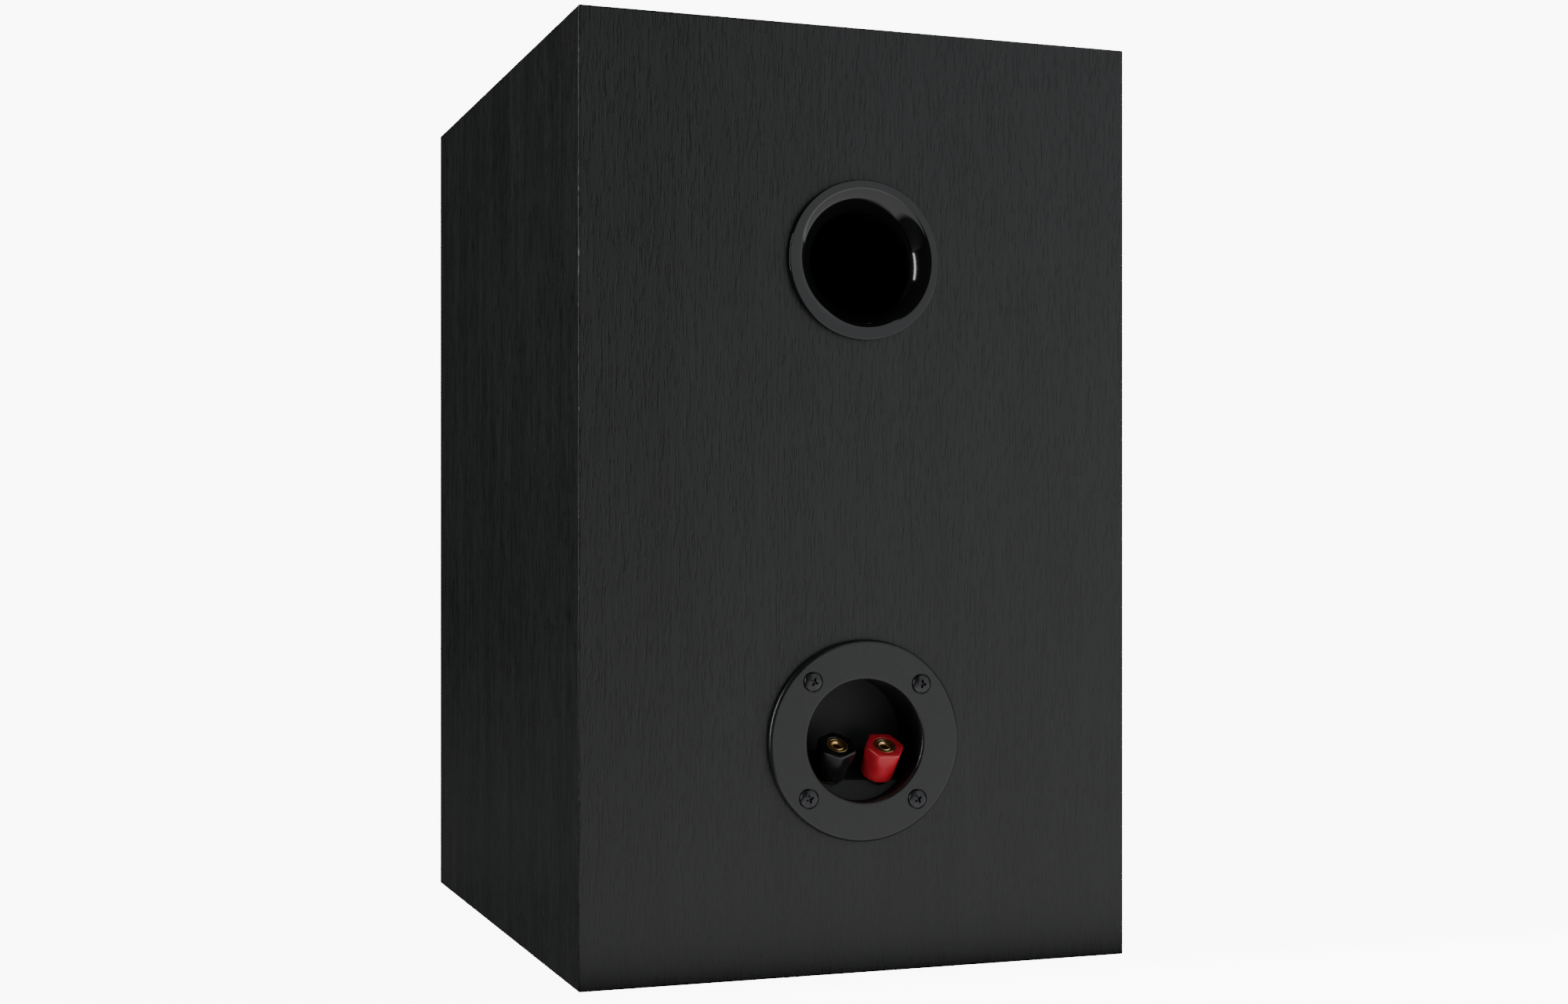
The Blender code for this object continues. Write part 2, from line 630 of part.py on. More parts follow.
def build_tweeter(tweeter_seat):
    """The tweeter: faceplate, dome and motor."""
    build_faceplate(tweeter_seat)
    build_dome(tweeter_seat)
    plate = behind([(14.1, 8.3), (16.5, 8.3), (16.5, 6.3), (20.3, 6.3), (20.3, 8.3), (33, 8.3),
                    (33, 12.3), (14.1, 12.3)])
    magnet = behind([(17, 12.6), (34, 12.6), (34, 24.6), (17, 24.6)])
    yoke = behind([(0, 8.3), (12.2, 8.3), (12.2, 24.9), (31, 24.9), (31, 28.9), (0, 28.9)])
    paint(turned("tweeter_top_plate", plate, MEDIUM, tweeter_seat), "steel")
    paint(turned("tweeter_magnet", magnet, MEDIUM, tweeter_seat), "ferrite")
    paint(turned("tweeter_yoke", yoke, MEDIUM, tweeter_seat), "steel")
    for number, corner in enumerate(diagonals(TWEETER_SCREWS), start=1):
        pan_screw(f"tweeter_screw_{number}", tweeter_seat, corner, 0.3, (3.1, 2.0), (1.5, 15))


# Grille

def build_grille(front_seat):
    """The grille frame with its four pegs, and the cloth over its front."""
    half_width = (WIDTH / 2 - GRILLE_MARGIN) / MM
    low, high = GRILLE_MARGIN / MM, (HEIGHT - GRILLE_MARGIN) / MM
    outline = rounded_window(half_width, low, high, 6, 6, 3)
    woofer_window = rounded_window(86, 20, 194, 46, 14)
    tweeter_window = rounded_window(86, 204, 337, 14, 46)
    back = GRILLE_STANDOFF
    frame = flat_shape("grille_frame", [outline, woofer_window, tweeter_window],
                       GRILLE_THICKNESS, front_seat, (0, 0, back + GRILLE_THICKNESS / 2))
    pegs = [(x, z) for x in (-PEG_X, PEG_X) for z in PEG_ZS]
    combine(frame, rods("grille_pegs", pegs, PEG_RADIUS, -9 * MM, back + 3 * MM, SMALL,
                        front_seat), "UNION")
    paint(frame, "black_plastic")
    cloth_place = (0, 0, back + GRILLE_THICKNESS + GAP + CLOTH_THICKNESS / 2)
    cloth = flat_shape("grille_cloth", [outline], CLOTH_THICKNESS, front_seat, cloth_place)
    paint(cloth, "grille_fabric")


# Crossover and leads

def inductor(name, radius, bore, height, place):
    """An air-cored copper coil, standing on its end."""
    outline = [(bore, height), (radius, height), (radius, 0), (bore, 0)]
    return paint(turned(name, outline, MEDIUM, None, place), "copper")


def capacitor(name, radius, length, place):
    """A film capacitor lying along Y."""
    half = length / 2
    outline = [(0, half), (radius - 1, half), (radius, half - 1), (radius, 1 - half),
               (radius - 1, -half), (0, -half)]
    obj = turned(name, outline, MEDIUM, None, place, (math.pi / 2, 0, 0))
    return paint(obj, "capacitor_film")


def build_crossover():
    """The crossover board on its pillars, with its five parts."""
    thickness = BOARD_TOP - BOARD_LOW
    board_y = 15 * MM
    plate = box("crossover_board", (90 * MM, 120 * MM, thickness), None,
                (0, board_y, BOARD_LOW + thickness / 2))
    corners = [(x * MM, board_y + y * MM) for x in (-40, 40) for y in (-55, 55)]
    combine(plate, rods("board_pillars", corners, 3 * MM, WALL + GAP,
                        BOARD_LOW + thickness / 2, TINY), "UNION")
    paint(plate, "circuit_board")
    seat_z = BOARD_TOP + GAP
    inductor("woofer_inductor", 22, 9, 20, (-18 * MM, -12 * MM, seat_z))
    inductor("tweeter_inductor", 14, 6, 14, (24 * MM, -22 * MM, seat_z))
    capacitor("tweeter_capacitor", 10, 38, (24 * MM, 30 * MM, seat_z + 10 * MM))
    capacitor("woofer_capacitor", 6.5, 28, (-2 * MM, 48 * MM, seat_z + 6.5 * MM))
    resistor = box("tweeter_resistor", (10 * MM, 38 * MM, 9 * MM), None,
                   (-28 * MM, 42 * MM, seat_z + 4.5 * MM))
    bevel = resistor.modifiers.new("edges", "BEVEL")
    bevel.width = 0.6 * MM
    bevel.segments = 1
    paint(resistor, "resistor_ceramic")


def build_leads(post_axis, post_feet):
    """Six leads: cup to crossover, crossover to woofer, crossover to tweeter."""
    for colour, side, finish in (("red", -1, "red_plastic"), ("black", 1, "black_plastic")):
        tail = [tuple((post_feet[colour] - post_axis * reach * MM) / MM) for reach in (9.4, 12)]
        route = tail + [(side * 9.6, 118, 60), (side * 11, 105, 50), (side * 13, 88, 33),
                        (side * 13, 76, 25.4), (side * 13, 71, 24.5)]
        wire(f"{colour}_input_lead", route, finish)
        wire(f"{colour}_woofer_lead",
             [(side * 8, -42, 24.5), (side * 8, -60, 27), (side * 7, -85, 33),
              (side * 6, -100, 42), (side * 5, -108, 53.6)], finish)
    wire("red_tweeter_lead", [(-38, -41, 24.5), (-50, -45, 30), (-66, -52, 62), (-72, -60, 112),
                              (-70, -75, 180), (-45, -95, 215), (-20, -104, 232),
                              (-10, -109, 248)], "red_plastic")
    wire("black_tweeter_lead", [(-36, -36, 24.5), (-50, -40, 29), (-67, -46, 62), (-73, -54, 112),
                                (-70, -69, 182), (-43, -89, 219), (-16, -99, 236),
                                (-4, -108.8, 248)], "black_plastic")


def settle():
    """Applies the modifiers of every meshed part and shades its round faces smooth."""
    bpy.context.view_layer.update()
    graph = bpy.context.evaluated_depsgraph_get()
    parts = [o for o in bpy.data.collections[PARTS_NAME].objects if o.type == "MESH"]
    meshes = [bpy.data.meshes.new_from_object(o.evaluated_get(graph)) for o in parts]
    for obj, mesh in zip(parts, meshes):
        obj.modifiers.clear()
        obj.data = mesh
        mesh.shade_smooth()
        mesh.set_sharp_from_angle(angle=math.radians(35))


def main():
    """Builds the speaker."""
    clear_scene()
    facing_front = (math.pi / 2, 0, 0)
    front_seat = seat("front_seat", (0, FRONT_Y, 0), facing_front)
    woofer_seat = seat("woofer_seat", (0, FRONT_Y, WOOFER_Z), facing_front)
    tweeter_seat = seat("tweeter_seat", (0, FRONT_Y, TWEETER_Z), facing_front)
    cup_seat = seat("cup_seat", (0, REAR_Y, CUP_Z), (0, CUP_TURN, 0))
    cup_face = seat("cup_face", (0, 0, 0), (-math.pi / 2, 0, 0), cup_seat)

    rear_panel = build_boards()
    build_baffle(woofer_seat, tweeter_seat, front_seat)
    build_foam()
    build_port(rear_panel)
    cup = build_cup(cup_seat, cup_face)
    combine(rear_panel, rods("cup_hole", [(0, 0)], CUP_HOLE, -WALL - 1 * MM, 1 * MM, LARGE,
                             cup_face))
    build_terminal_screws(cup_face, rear_panel)
    build_post("red", -1, 0, "red_plastic", cup_seat, cup)
    build_post("black", 1, math.pi / 6, "black_plastic", cup_seat, cup)
    build_woofer(woofer_seat)
    build_tweeter(tweeter_seat)
    build_grille(front_seat)
    build_crossover()

    bpy.context.view_layer.update()
    seats = {colour: bpy.data.objects[f"{colour}_post_seat"].matrix_world
             for colour in ("red", "black")}
    post_axis = (seats["red"].to_3x3() @ Vector((0, 0, 1))).normalized()
    build_leads(post_axis, {colour: m.translation for colour, m in seats.items()})
    settle()


main()
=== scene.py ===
"""Bookshelf speaker: its finished surfaces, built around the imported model.

A two-way cabinet in black wood-grain vinyl, with a flared port and a round terminal cup at the rear,
a woofer and a tweeter behind a cloth grille at the front, and a crossover, leads and lining inside.
+Z is up, the front faces -Y and the origin is the centre of the underside. Blender works in metres;
outlines, routes and the sizes of the classes are in millimetres, which MM turns into metres.
"""
import logging
import math
from collections.abc import Iterable, Sequence
from dataclasses import dataclass
from enum import Enum
from typing import ClassVar

import bmesh
import bpy
from mathutils import Matrix, Vector, noise


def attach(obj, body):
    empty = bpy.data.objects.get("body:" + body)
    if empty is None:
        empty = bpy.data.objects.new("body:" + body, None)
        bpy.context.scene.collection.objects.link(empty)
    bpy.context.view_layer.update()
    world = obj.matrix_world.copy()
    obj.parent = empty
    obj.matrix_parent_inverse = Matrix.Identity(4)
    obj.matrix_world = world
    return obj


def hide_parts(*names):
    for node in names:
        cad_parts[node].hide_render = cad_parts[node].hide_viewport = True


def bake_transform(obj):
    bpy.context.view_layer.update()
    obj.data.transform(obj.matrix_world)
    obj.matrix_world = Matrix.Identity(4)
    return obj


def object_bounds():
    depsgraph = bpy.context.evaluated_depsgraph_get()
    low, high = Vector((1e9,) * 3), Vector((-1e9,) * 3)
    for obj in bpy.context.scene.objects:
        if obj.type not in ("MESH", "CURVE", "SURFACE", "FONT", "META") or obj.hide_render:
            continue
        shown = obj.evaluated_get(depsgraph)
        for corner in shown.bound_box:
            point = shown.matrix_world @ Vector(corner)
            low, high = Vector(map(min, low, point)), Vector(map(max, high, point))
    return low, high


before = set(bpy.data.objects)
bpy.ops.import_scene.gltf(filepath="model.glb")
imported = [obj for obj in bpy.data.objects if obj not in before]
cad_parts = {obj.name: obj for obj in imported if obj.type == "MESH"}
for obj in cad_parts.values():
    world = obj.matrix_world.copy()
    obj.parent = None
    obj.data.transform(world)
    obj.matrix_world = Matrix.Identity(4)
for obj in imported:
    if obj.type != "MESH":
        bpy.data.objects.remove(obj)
cad_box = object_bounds()

log = logging.getLogger("speaker")

MM = 0.001

Colour = tuple[float, float, float]
Place = tuple[float, float, float]
Profile = list[tuple[float, float]]
Route = list[Place]

FACING_FRONT = Matrix.Rotation(math.pi / 2, 4, "X")     # local Z points forwards, to -Y
FACING_REAR = Matrix.Rotation(-math.pi / 2, 4, "X")     # local Z points backwards, to +Y
NO_TURN = Matrix.Identity(4)
FULL_TURN = 2 * math.pi


class Body(Enum):
    """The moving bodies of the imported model."""

    CABINET = "cabinet"
    GRILLE = "grille"
    WOOFER = "woofer_diaphragm"
    TWEETER = "tweeter_diaphragm"
    RED_WASHER = "red_washer"
    RED_CAP = "red_cap"
    BLACK_WASHER = "black_washer"
    BLACK_CAP = "black_cap"


class SocketKind(Enum):
    """The kinds of input that a geometry tree has here."""

    GEOMETRY = "NodeSocketGeometry"
    NUMBER = "NodeSocketFloat"
    COUNT = "NodeSocketInt"
    OBJECT = "NodeSocketObject"
    MATERIAL = "NodeSocketMaterial"


class Rule(Enum):
    """The rules that a ring of suspension follows from its inner to its outer radius."""

    ROLL = "one half-round roll"
    PLEATS = "even waves"


# Node trees

class Field:
    """A number in a node tree. Arithmetic on it adds Math nodes to that tree."""

    def __init__(self, wiring: "Wiring", socket: bpy.types.NodeSocket) -> None:
        """Wraps one output socket."""
        self.wiring = wiring
        self.socket = socket

    def calc(self, operation: str, *others: "Field | float") -> "Field":
        """Adds one Math node.

        Args:
            operation: Blender's name of the operation.
            others: the operands after this field.

        Returns:
            The result as a field.
        """
        node = self.wiring.tree.nodes.new("ShaderNodeMath")
        node.operation = operation
        for index, value in enumerate((self, *others)):
            self.wiring.feed(node.inputs[index], value)
        return Field(self.wiring, node.outputs[0])

    def __add__(self, other: "Field | float") -> "Field":
        """This field plus another."""
        return self.calc("ADD", other)

    def __sub__(self, other: "Field | float") -> "Field":
        """This field less another."""
        return self.calc("SUBTRACT", other)

    def __mul__(self, other: "Field | float") -> "Field":
        """This field times another."""
        return self.calc("MULTIPLY", other)

    def ranged(self, low: float, high: float, to_low: float = 0.0, to_high: float = 1.0) -> "Field":
        """Maps one range to another and clamps it.

        Args:
            low: the value that becomes to_low.
            high: the value that becomes to_high.
            to_low: the lowest result.
            to_high: the highest result.

        Returns:
            The mapped field.
        """
        node = self.wiring.node("ShaderNodeMapRange", {
            "Value": self, "From Min": low, "From Max": high, "To Min": to_low, "To Max": to_high})
        return Field(self.wiring, node.outputs[0])


class Wiring:
    """Adds and links the nodes of one tree."""

    def __init__(self, tree: bpy.types.NodeTree) -> None:
        """Takes the tree to build in."""
        self.tree = tree

    def feed(self, socket: bpy.types.NodeSocket, value: object) -> None:
        """Links a field or an output to an input, or sets the input's own value.

        Args:
            socket: the input.
            value: a field, an output socket, a list of output sockets or a plain value.
        """
        sources = value if isinstance(value, list) else [value]
        for source in sources:
            if isinstance(source, Field):
                source = source.socket
            if isinstance(source, bpy.types.NodeSocket):
                self.tree.links.new(source, socket)
            else:
                socket.default_value = source

    def node(self, kind: str, inputs: dict | None = None, **settings: object) -> bpy.types.Node:
        """Adds one node.

        Args:
            kind: the node's type.
            inputs: values of its inputs, by name or index.
            settings: its properties.

        Returns:
            The node.
        """
        made = self.tree.nodes.new(kind)
        for name, value in settings.items():
            setattr(made, name, value)
        for key, value in (inputs or {}).items():
            self.feed(made.inputs[key], value)
        return made

    def parts(self, vector: bpy.types.NodeSocket) -> list[Field]:
        """The X, Y and Z of a vector as fields."""
        node = self.node("ShaderNodeSeparateXYZ", {0: vector})
        return [Field(self, output) for output in node.outputs]

    def noise(self, place: bpy.types.NodeSocket, size: float,
              stretch: Sequence[float] = (1, 1, 1), detail: float = 2.0) -> Field:
        """Soft noise over a surface.

        Args:
            place: the coordinates.
            size: how wide its features are, in millimetres.
            stretch: how many times longer they are along each axis.
            detail: how many finer layers are added.

        Returns:
            The noise, about 0 to 1.
        """
        scale = tuple(1 / (size * MM * times) for times in stretch)
        mapped = self.node("ShaderNodeMapping", {"Vector": place, "Scale": scale})
        texture = self.node("ShaderNodeTexNoise",
                            {"Vector": mapped.outputs[0], "Scale": 1.0, "Detail": detail})
        return Field(self, texture.outputs[0])

    def cells(self, place: bpy.types.NodeSocket, size: float) -> Field:
        """Distance to the nearest of scattered points, for cells of a size in millimetres."""
        texture = self.node("ShaderNodeTexVoronoi", {"Vector": place, "Scale": 1 / (size * MM)})
        return Field(self, texture.outputs[0])


# Finishes

WEAVE_MAP = "weave"     # the UV map that the grille cloth's threads follow

@dataclass(frozen=True)
class Finish:
    """One finish: two colours mixed in soft patches, with a fine relief.

    Attributes:
        slot: the record's material slot.
        colour: the colour where the pattern is low.
        other: the colour where the pattern is high.
        roughness: the mean roughness.
        spread: how far the roughness varies over the surface.
        metallic: 1 for metal.
        relief: the height of the fine relief, in millimetres.
        grain: the width of the relief's features, in millimetres.
        patch: the width of the colour's patches, in millimetres.
        sockets: further values on the shader's own sockets.
        variant: a suffix that tells apart the finishes of one slot.
    """

    slot: str
    colour: Colour
    other: Colour
    roughness: float
    spread: float = 0.08
    metallic: float = 0.0
    relief: float = 0.01
    grain: float = 0.5
    patch: float = 9.0
    sockets: tuple[tuple[str, float], ...] = ()
    variant: str = ""

    made: ClassVar[dict[str, bpy.types.Material]] = {}

    def pattern(self, wiring: Wiring, place: bpy.types.NodeSocket) -> tuple[Field, Field]:
        """The finish's pattern.

        Args:
            wiring: the material's tree.
            place: the coordinates on the piece.

        Returns:
            The share of the other colour, and the height of the relief, both 0 to 1.
        """
        shade = wiring.noise(place, self.patch, detail=4).ranged(0.3, 0.7)
        return shade, wiring.noise(place, self.grain)

    def coordinates(self, wiring: Wiring) -> bpy.types.NodeSocket:
        """The coordinates that the pattern reads."""
        return wiring.node("ShaderNodeTexCoord").outputs["Object"]

    def build(self) -> bpy.types.Material:
        """Makes the material, or returns the one made before."""
        name = f"{self.slot}{self.variant}_finish"
        if name in self.made:
            return self.made[name]
        material = bpy.data.materials.new(name)
        material.use_nodes = True
        wiring = Wiring(material.node_tree)
        shader = material.node_tree.nodes["Principled BSDF"]
        shade, height = self.pattern(wiring, self.coordinates(wiring))
        mixed = wiring.node("ShaderNodeMix", {"Factor": shade}, data_type="RGBA")
        colours = [socket for socket in mixed.inputs if socket.type == "RGBA"]
        for socket, colour in zip(colours, (self.colour, self.other)):
            socket.default_value = (*colour, 1)
        result = next(socket for socket in mixed.outputs if socket.type == "RGBA")
        wiring.feed(shader.inputs["Base Color"], result)
        gloss = (shade + height) * self.spread + (self.roughness - self.spread)
        wiring.feed(shader.inputs["Roughness"], gloss)
        bump = wiring.node("ShaderNodeBump", {"Height": height, "Distance": self.relief * MM})
        wiring.feed(shader.inputs["Normal"], bump.outputs[0])
        shader.inputs["Metallic"].default_value = self.metallic
        for socket, value in self.sockets:
            shader.inputs[socket].default_value = value
        self.made[name] = material
        return material


@dataclass(frozen=True)
class GrainedVinyl(Finish):
    """Wood-grain vinyl: fibres, short pores and broad bands that run along one axis."""

    along: int = 2

    def pattern(self, wiring: Wiring, place: bpy.types.NodeSocket) -> tuple[Field, Field]:
        """The grain's colour and relief.

        Args:
            wiring: the material's tree.
            place: the coordinates on the piece.

        Returns:
            The share of the other colour, and the height of the relief.
        """
        def stretched(times: float) -> list[float]:
            """A stretch along the grain."""
            return [times if axis == self.along else 1 for axis in range(3)]

        fibres = wiring.noise(place, 1.3, stretched(11), 3).ranged(0.34, 0.66)
        threads = wiring.noise(place, 0.6, stretched(40), 2).ranged(0.34, 0.66)
        bands = wiring.noise(place, 9, stretched(14), 2).ranged(0.3, 0.7)
        clouds = wiring.noise(place, 30, stretched(2.5), 2).ranged(0.3, 0.7)
        pores = wiring.noise(place, 0.7, stretched(8), 2).ranged(0.54, 0.64)
        shade = fibres * 0.42 + threads * 0.26 + bands * 0.30 + clouds * 0.20 - pores * 0.55
        height = fibres * 0.40 + threads * 0.30 - pores * 0.7 + 0.4
        return shade, height


@dataclass(frozen=True)
class PressedBoard(Finish):
    """Fibreboard: pale and dark flakes in a brown ground."""

    def pattern(self, wiring: Wiring, place: bpy.types.NodeSocket) -> tuple[Field, Field]:
        """Flakes of two sizes.

        Args:
            wiring: the material's tree.
            place: the coordinates on the piece.

        Returns:
            The share of the other colour, and the height of the relief.
        """
        flakes = wiring.cells(place, 1.2).ranged(0.1, 0.8)
        fibres = wiring.noise(place, 0.4, (3, 1, 1), 3)
        return flakes * 0.5 + fibres * 0.5, fibres


@dataclass(frozen=True)
class WovenCloth(Finish):
    """Cloth whose threads follow the piece's own UV map, which is in metres."""

    pitch: float = 0.9

    def coordinates(self, wiring: Wiring) -> bpy.types.NodeSocket:
        """The cloth's own map."""
        return wiring.node("ShaderNodeUVMap", uv_map=WEAVE_MAP).outputs[0]

    def pattern(self, wiring: Wiring, place: bpy.types.NodeSocket) -> tuple[Field, Field]:
        """A plain weave.

        Args:
            wiring: the material's tree.
            place: the coordinates on the cloth.

        Returns:
            The share of the other colour, and the height of the threads.
        """
        across, along, _ = wiring.parts(place)
        waves = [(part * (math.pi / (self.pitch * MM))).calc("SINE") for part in (across, along)]
        over = waves[0] * waves[1]
        threads = over.calc("ABSOLUTE")
        fuzz = wiring.noise(place, 0.25, detail=3)
        height = threads * 0.7 + over * 0.2 + fuzz * 0.2
        return threads * 0.6 + fuzz * 0.4, height


@dataclass(frozen=True)
class OpenFoam(Finish):
    """Open-cell foam: small pits all over, with painted shade that darkens them."""

    def pattern(self, wiring: Wiring, place: bpy.types.NodeSocket) -> tuple[Field, Field]:
        """Cells of two sizes.

        Args:
            wiring: the material's tree.
            place: the coordinates on the piece.

        Returns:
            The share of the other colour, and the height of the relief.
        """
        pits = wiring.cells(place, self.grain).ranged(0.1, 0.75)
        fine = wiring.cells(place, 0.45 * self.grain).ranged(0.1, 0.75)
        height = pits * -0.6 - fine * 0.4 + 1.0
        # the colour follows the relief's height: painted shade darkens the pits, with some random tone
        # from the noise
        return height * 0.7 + wiring.noise(place, 20) * 0.3, height


@dataclass(frozen=True)
class BrushedSteel(Finish):
    """Turned steel: fine rings across the Y axis."""

    def pattern(self, wiring: Wiring, place: bpy.types.NodeSocket) -> tuple[Field, Field]:
        """Soft patches, and fine rings that follow one another along Y.

        Args:
            wiring: the material's tree.
            place: the coordinates on the piece.

        Returns:
            The share of the other colour, and the height of the relief.
        """
        patches = wiring.noise(place, self.patch, detail=3)
        return patches, wiring.noise(place, 0.12, (8, 1, 8), 2)


@dataclass(frozen=True)
class EtchedBoard(Finish):
    """A circuit board: broad pale tracks under a green varnish."""

    def pattern(self, wiring: Wiring, place: bpy.types.NodeSocket) -> tuple[Field, Field]:
        """Tracks with rounded corners.

        Args:
            wiring: the material's tree.
            place: the coordinates on the piece.

        Returns:
            The share of the other colour, and the height of the relief.
        """
        tracks = wiring.noise(place, 26, (1, 1.6, 1), 0).ranged(0.49, 0.51)
        weave = wiring.noise(place, 0.5)
        return tracks * 0.8 + weave * 0.2, tracks * 0.8 + weave * 0.1


VINYL_DARK = (0.0036, 0.0038, 0.0043)
VINYL_LIGHT = (0.0150, 0.0156, 0.0164)
VINYL_SHINE = (("Specular IOR Level", 0.40),)
UPRIGHT_VINYL = GrainedVinyl("black_vinyl", VINYL_DARK, VINYL_LIGHT, 0.39, 0.07, relief=0.06,
                             sockets=VINYL_SHINE)
LEVEL_VINYL = GrainedVinyl("black_vinyl", VINYL_DARK, VINYL_LIGHT, 0.39, 0.07, relief=0.06,
                           sockets=VINYL_SHINE, variant="_level", along=0)
RAW_BOARD = PressedBoard("raw_board", (0.20, 0.125, 0.066), (0.40, 0.28, 0.165), 0.85, 0.05,
                         relief=0.05)
PORT_GLOSS = Finish("gloss_black_plastic", (0.0042, 0.0044, 0.0047), (0.0056, 0.0058, 0.0062),
                    0.08, 0.02, relief=0.002, grain=2.5, patch=18)
CUP_SATIN = Finish("satin_black_plastic", (0.0085, 0.0090, 0.0096), (0.0125, 0.0130, 0.0136),
                   0.27, 0.04, relief=0.010, grain=0.28, patch=6,
                   sockets=(("Specular IOR Level", 0.43),))
# the recess's inside: a rougher textured finish that is real, plus a slightly darker colour and weaker
# specular that are painted shade in the recess
CUP_TEXTURE_AND_SHADE = Finish("satin_black_plastic", (0.0075, 0.0080, 0.0086), (0.0115, 0.0120, 0.0126),
                     0.50, 0.06, relief=0.03, grain=0.35, patch=6, variant="_texture",
                     sockets=(("Specular IOR Level", 0.28),))
SCREW_BLACK = Finish("black_screw", (0.020, 0.020, 0.022), (0.045, 0.045, 0.048), 0.26, 0.06,
                     metallic=0.6, relief=0.008, grain=0.3, patch=1.5)
GOLD = Finish("gold_plated_brass", (0.78, 0.50, 0.20), (0.90, 0.66, 0.33), 0.30, 0.05,
              metallic=1.0, relief=0.004, grain=0.4, patch=2.5)
RED_PLASTIC = Finish("red_plastic", (0.46, 0.013, 0.024), (0.56, 0.023, 0.036), 0.30, 0.04,
                     relief=0.006, grain=0.4, patch=4,
                     sockets=(("Subsurface Weight", 0.15), ("Subsurface Scale", 0.002),
                              ("Coat Weight", 0.2), ("Coat Roughness", 0.15)))
BLACK_PLASTIC = Finish("black_plastic", (0.0040, 0.0040, 0.0044), (0.0065, 0.0065, 0.0070),
                       0.24, 0.05, relief=0.010, grain=0.4, patch=5)
ZINC = BrushedSteel("zinc_steel", (0.44, 0.45, 0.45), (0.60, 0.60, 0.58), 0.36, 0.10,
                    metallic=1.0, relief=0.006, patch=8)
STAMPED = Finish("stamped_steel", (0.016, 0.016, 0.018), (0.028, 0.028, 0.030), 0.48, 0.09,
                 metallic=0.2, relief=0.03, grain=0.5, patch=10)
FERRITE = Finish("ferrite", (0.030, 0.031, 0.035), (0.062, 0.062, 0.068), 0.78, 0.08,
                 relief=0.06, grain=0.7, patch=5)
RUBBER = Finish("black_rubber", (0.010, 0.010, 0.010), (0.017, 0.017, 0.017), 0.62, 0.07,
                relief=0.012, grain=0.35, patch=8, sockets=(("Sheen Weight", 0.1),))
PAPER = Finish("cone_paper", (0.020, 0.020, 0.022), (0.042, 0.042, 0.045), 0.78, 0.08,
               relief=0.05, grain=0.5, patch=3, sockets=(("Sheen Weight", 0.15),))
SPIDER_CLOTH = Finish("spider_cloth", (0.42, 0.26, 0.08), (0.62, 0.44, 0.17), 0.85, 0.06,
                      relief=0.08, grain=0.45, patch=4)
COPPER = Finish("copper_winding", (0.58, 0.21, 0.08), (0.76, 0.34, 0.16), 0.24, 0.07,
                metallic=1.0, relief=0.004, patch=4, sockets=(("Coat Weight", 0.4),))
SILK = Finish("coated_silk", (0.026, 0.026, 0.029), (0.050, 0.050, 0.055), 0.52, 0.06,
              relief=0.03, grain=0.22, patch=3, sockets=(("Sheen Weight", 0.2),))
BOARD_GREEN = EtchedBoard("circuit_board", (0.020, 0.060, 0.022), (0.060, 0.140, 0.045), 0.34,
                          0.06, relief=0.03)
FILM = Finish("capacitor_film", (0.42, 0.045, 0.015), (0.58, 0.085, 0.030), 0.30, 0.07,
              relief=0.02, grain=2.5, patch=7, sockets=(("Coat Weight", 0.4),))
CERAMIC = Finish("resistor_ceramic", (0.62, 0.60, 0.55), (0.78, 0.76, 0.71), 0.80, 0.06,
                 relief=0.05, grain=0.4, patch=3)
RED_JACKET = Finish("red_lead", (0.42, 0.008, 0.014), (0.52, 0.014, 0.020), 0.42, 0.05,
                    relief=0.01, patch=6)
BLACK_JACKET = Finish("black_lead", (0.008, 0.008, 0.009), (0.013, 0.013, 0.014), 0.42, 0.05,
                      relief=0.01, patch=6)
GRILLE_CLOTH = WovenCloth("grille_fabric", (0.0035, 0.0035, 0.0038), (0.020, 0.020, 0.021), 0.86,
                          0.05, relief=0.22, sockets=(("Sheen Weight", 0.25),))
FOAM = OpenFoam("foam", (0.030, 0.031, 0.036), (0.105, 0.108, 0.118), 0.92, 0.03, relief=0.5,
                grain=1.3)


# Meshes

def arc(across: float, up: float, radius: float, start: float, end: float,
        steps: int) -> Profile:
    """Points of a round stretch.

    Args:
        across: the centre's first coordinate.
        up: the centre's second coordinate.
        radius: the radius.
        start: the first angle in degrees.
        end: the last angle in degrees.
        steps: how many chords it has.

    Returns:
        The points in order.
    """
    angles = [math.radians(start + (end - start) * i / steps) for i in range(steps + 1)]
    return [(across + radius * math.cos(a), up + radius * math.sin(a)) for a in angles]


def softened(profile: Profile, radius: float, steps: int = 3, closed: bool = True) -> Profile:
    """Rounds the corners of an outline that turn by more than a few degrees.

    Args:
        profile: the outline's points.
        radius: the radius of each rounding, shortened where its sides are short.
        steps: how many chords each rounding has.
        closed: whether the last point joins the first.

    Returns:
        The rounded outline.
    """
    least_turn = math.radians(24)
    result: Profile = []
    for index, point in enumerate(profile):
        before, after = profile[index - 1], profile[(index + 1) % len(profile)]
        corner = Vector(point)
        back, ahead = Vector(before) - corner, Vector(after) - corner
        end = not closed and index in (0, len(profile) - 1)
        if end or point[0] == 0 or math.pi - back.angle(ahead) < least_turn:
            result.append(point)
            continue
        reach = min(radius / math.tan(back.angle(ahead) / 2), 0.45 * back.length,
                    0.45 * ahead.length)
        start, stop = corner + back.normalized() * reach, corner + ahead.normalized() * reach
        for step in range(steps + 1):
            t = step / steps
            place = start * (1 - t) ** 2 + corner * (2 * t * (1 - t)) + stop * t ** 2
            result.append((place.x, place.y))
    return result


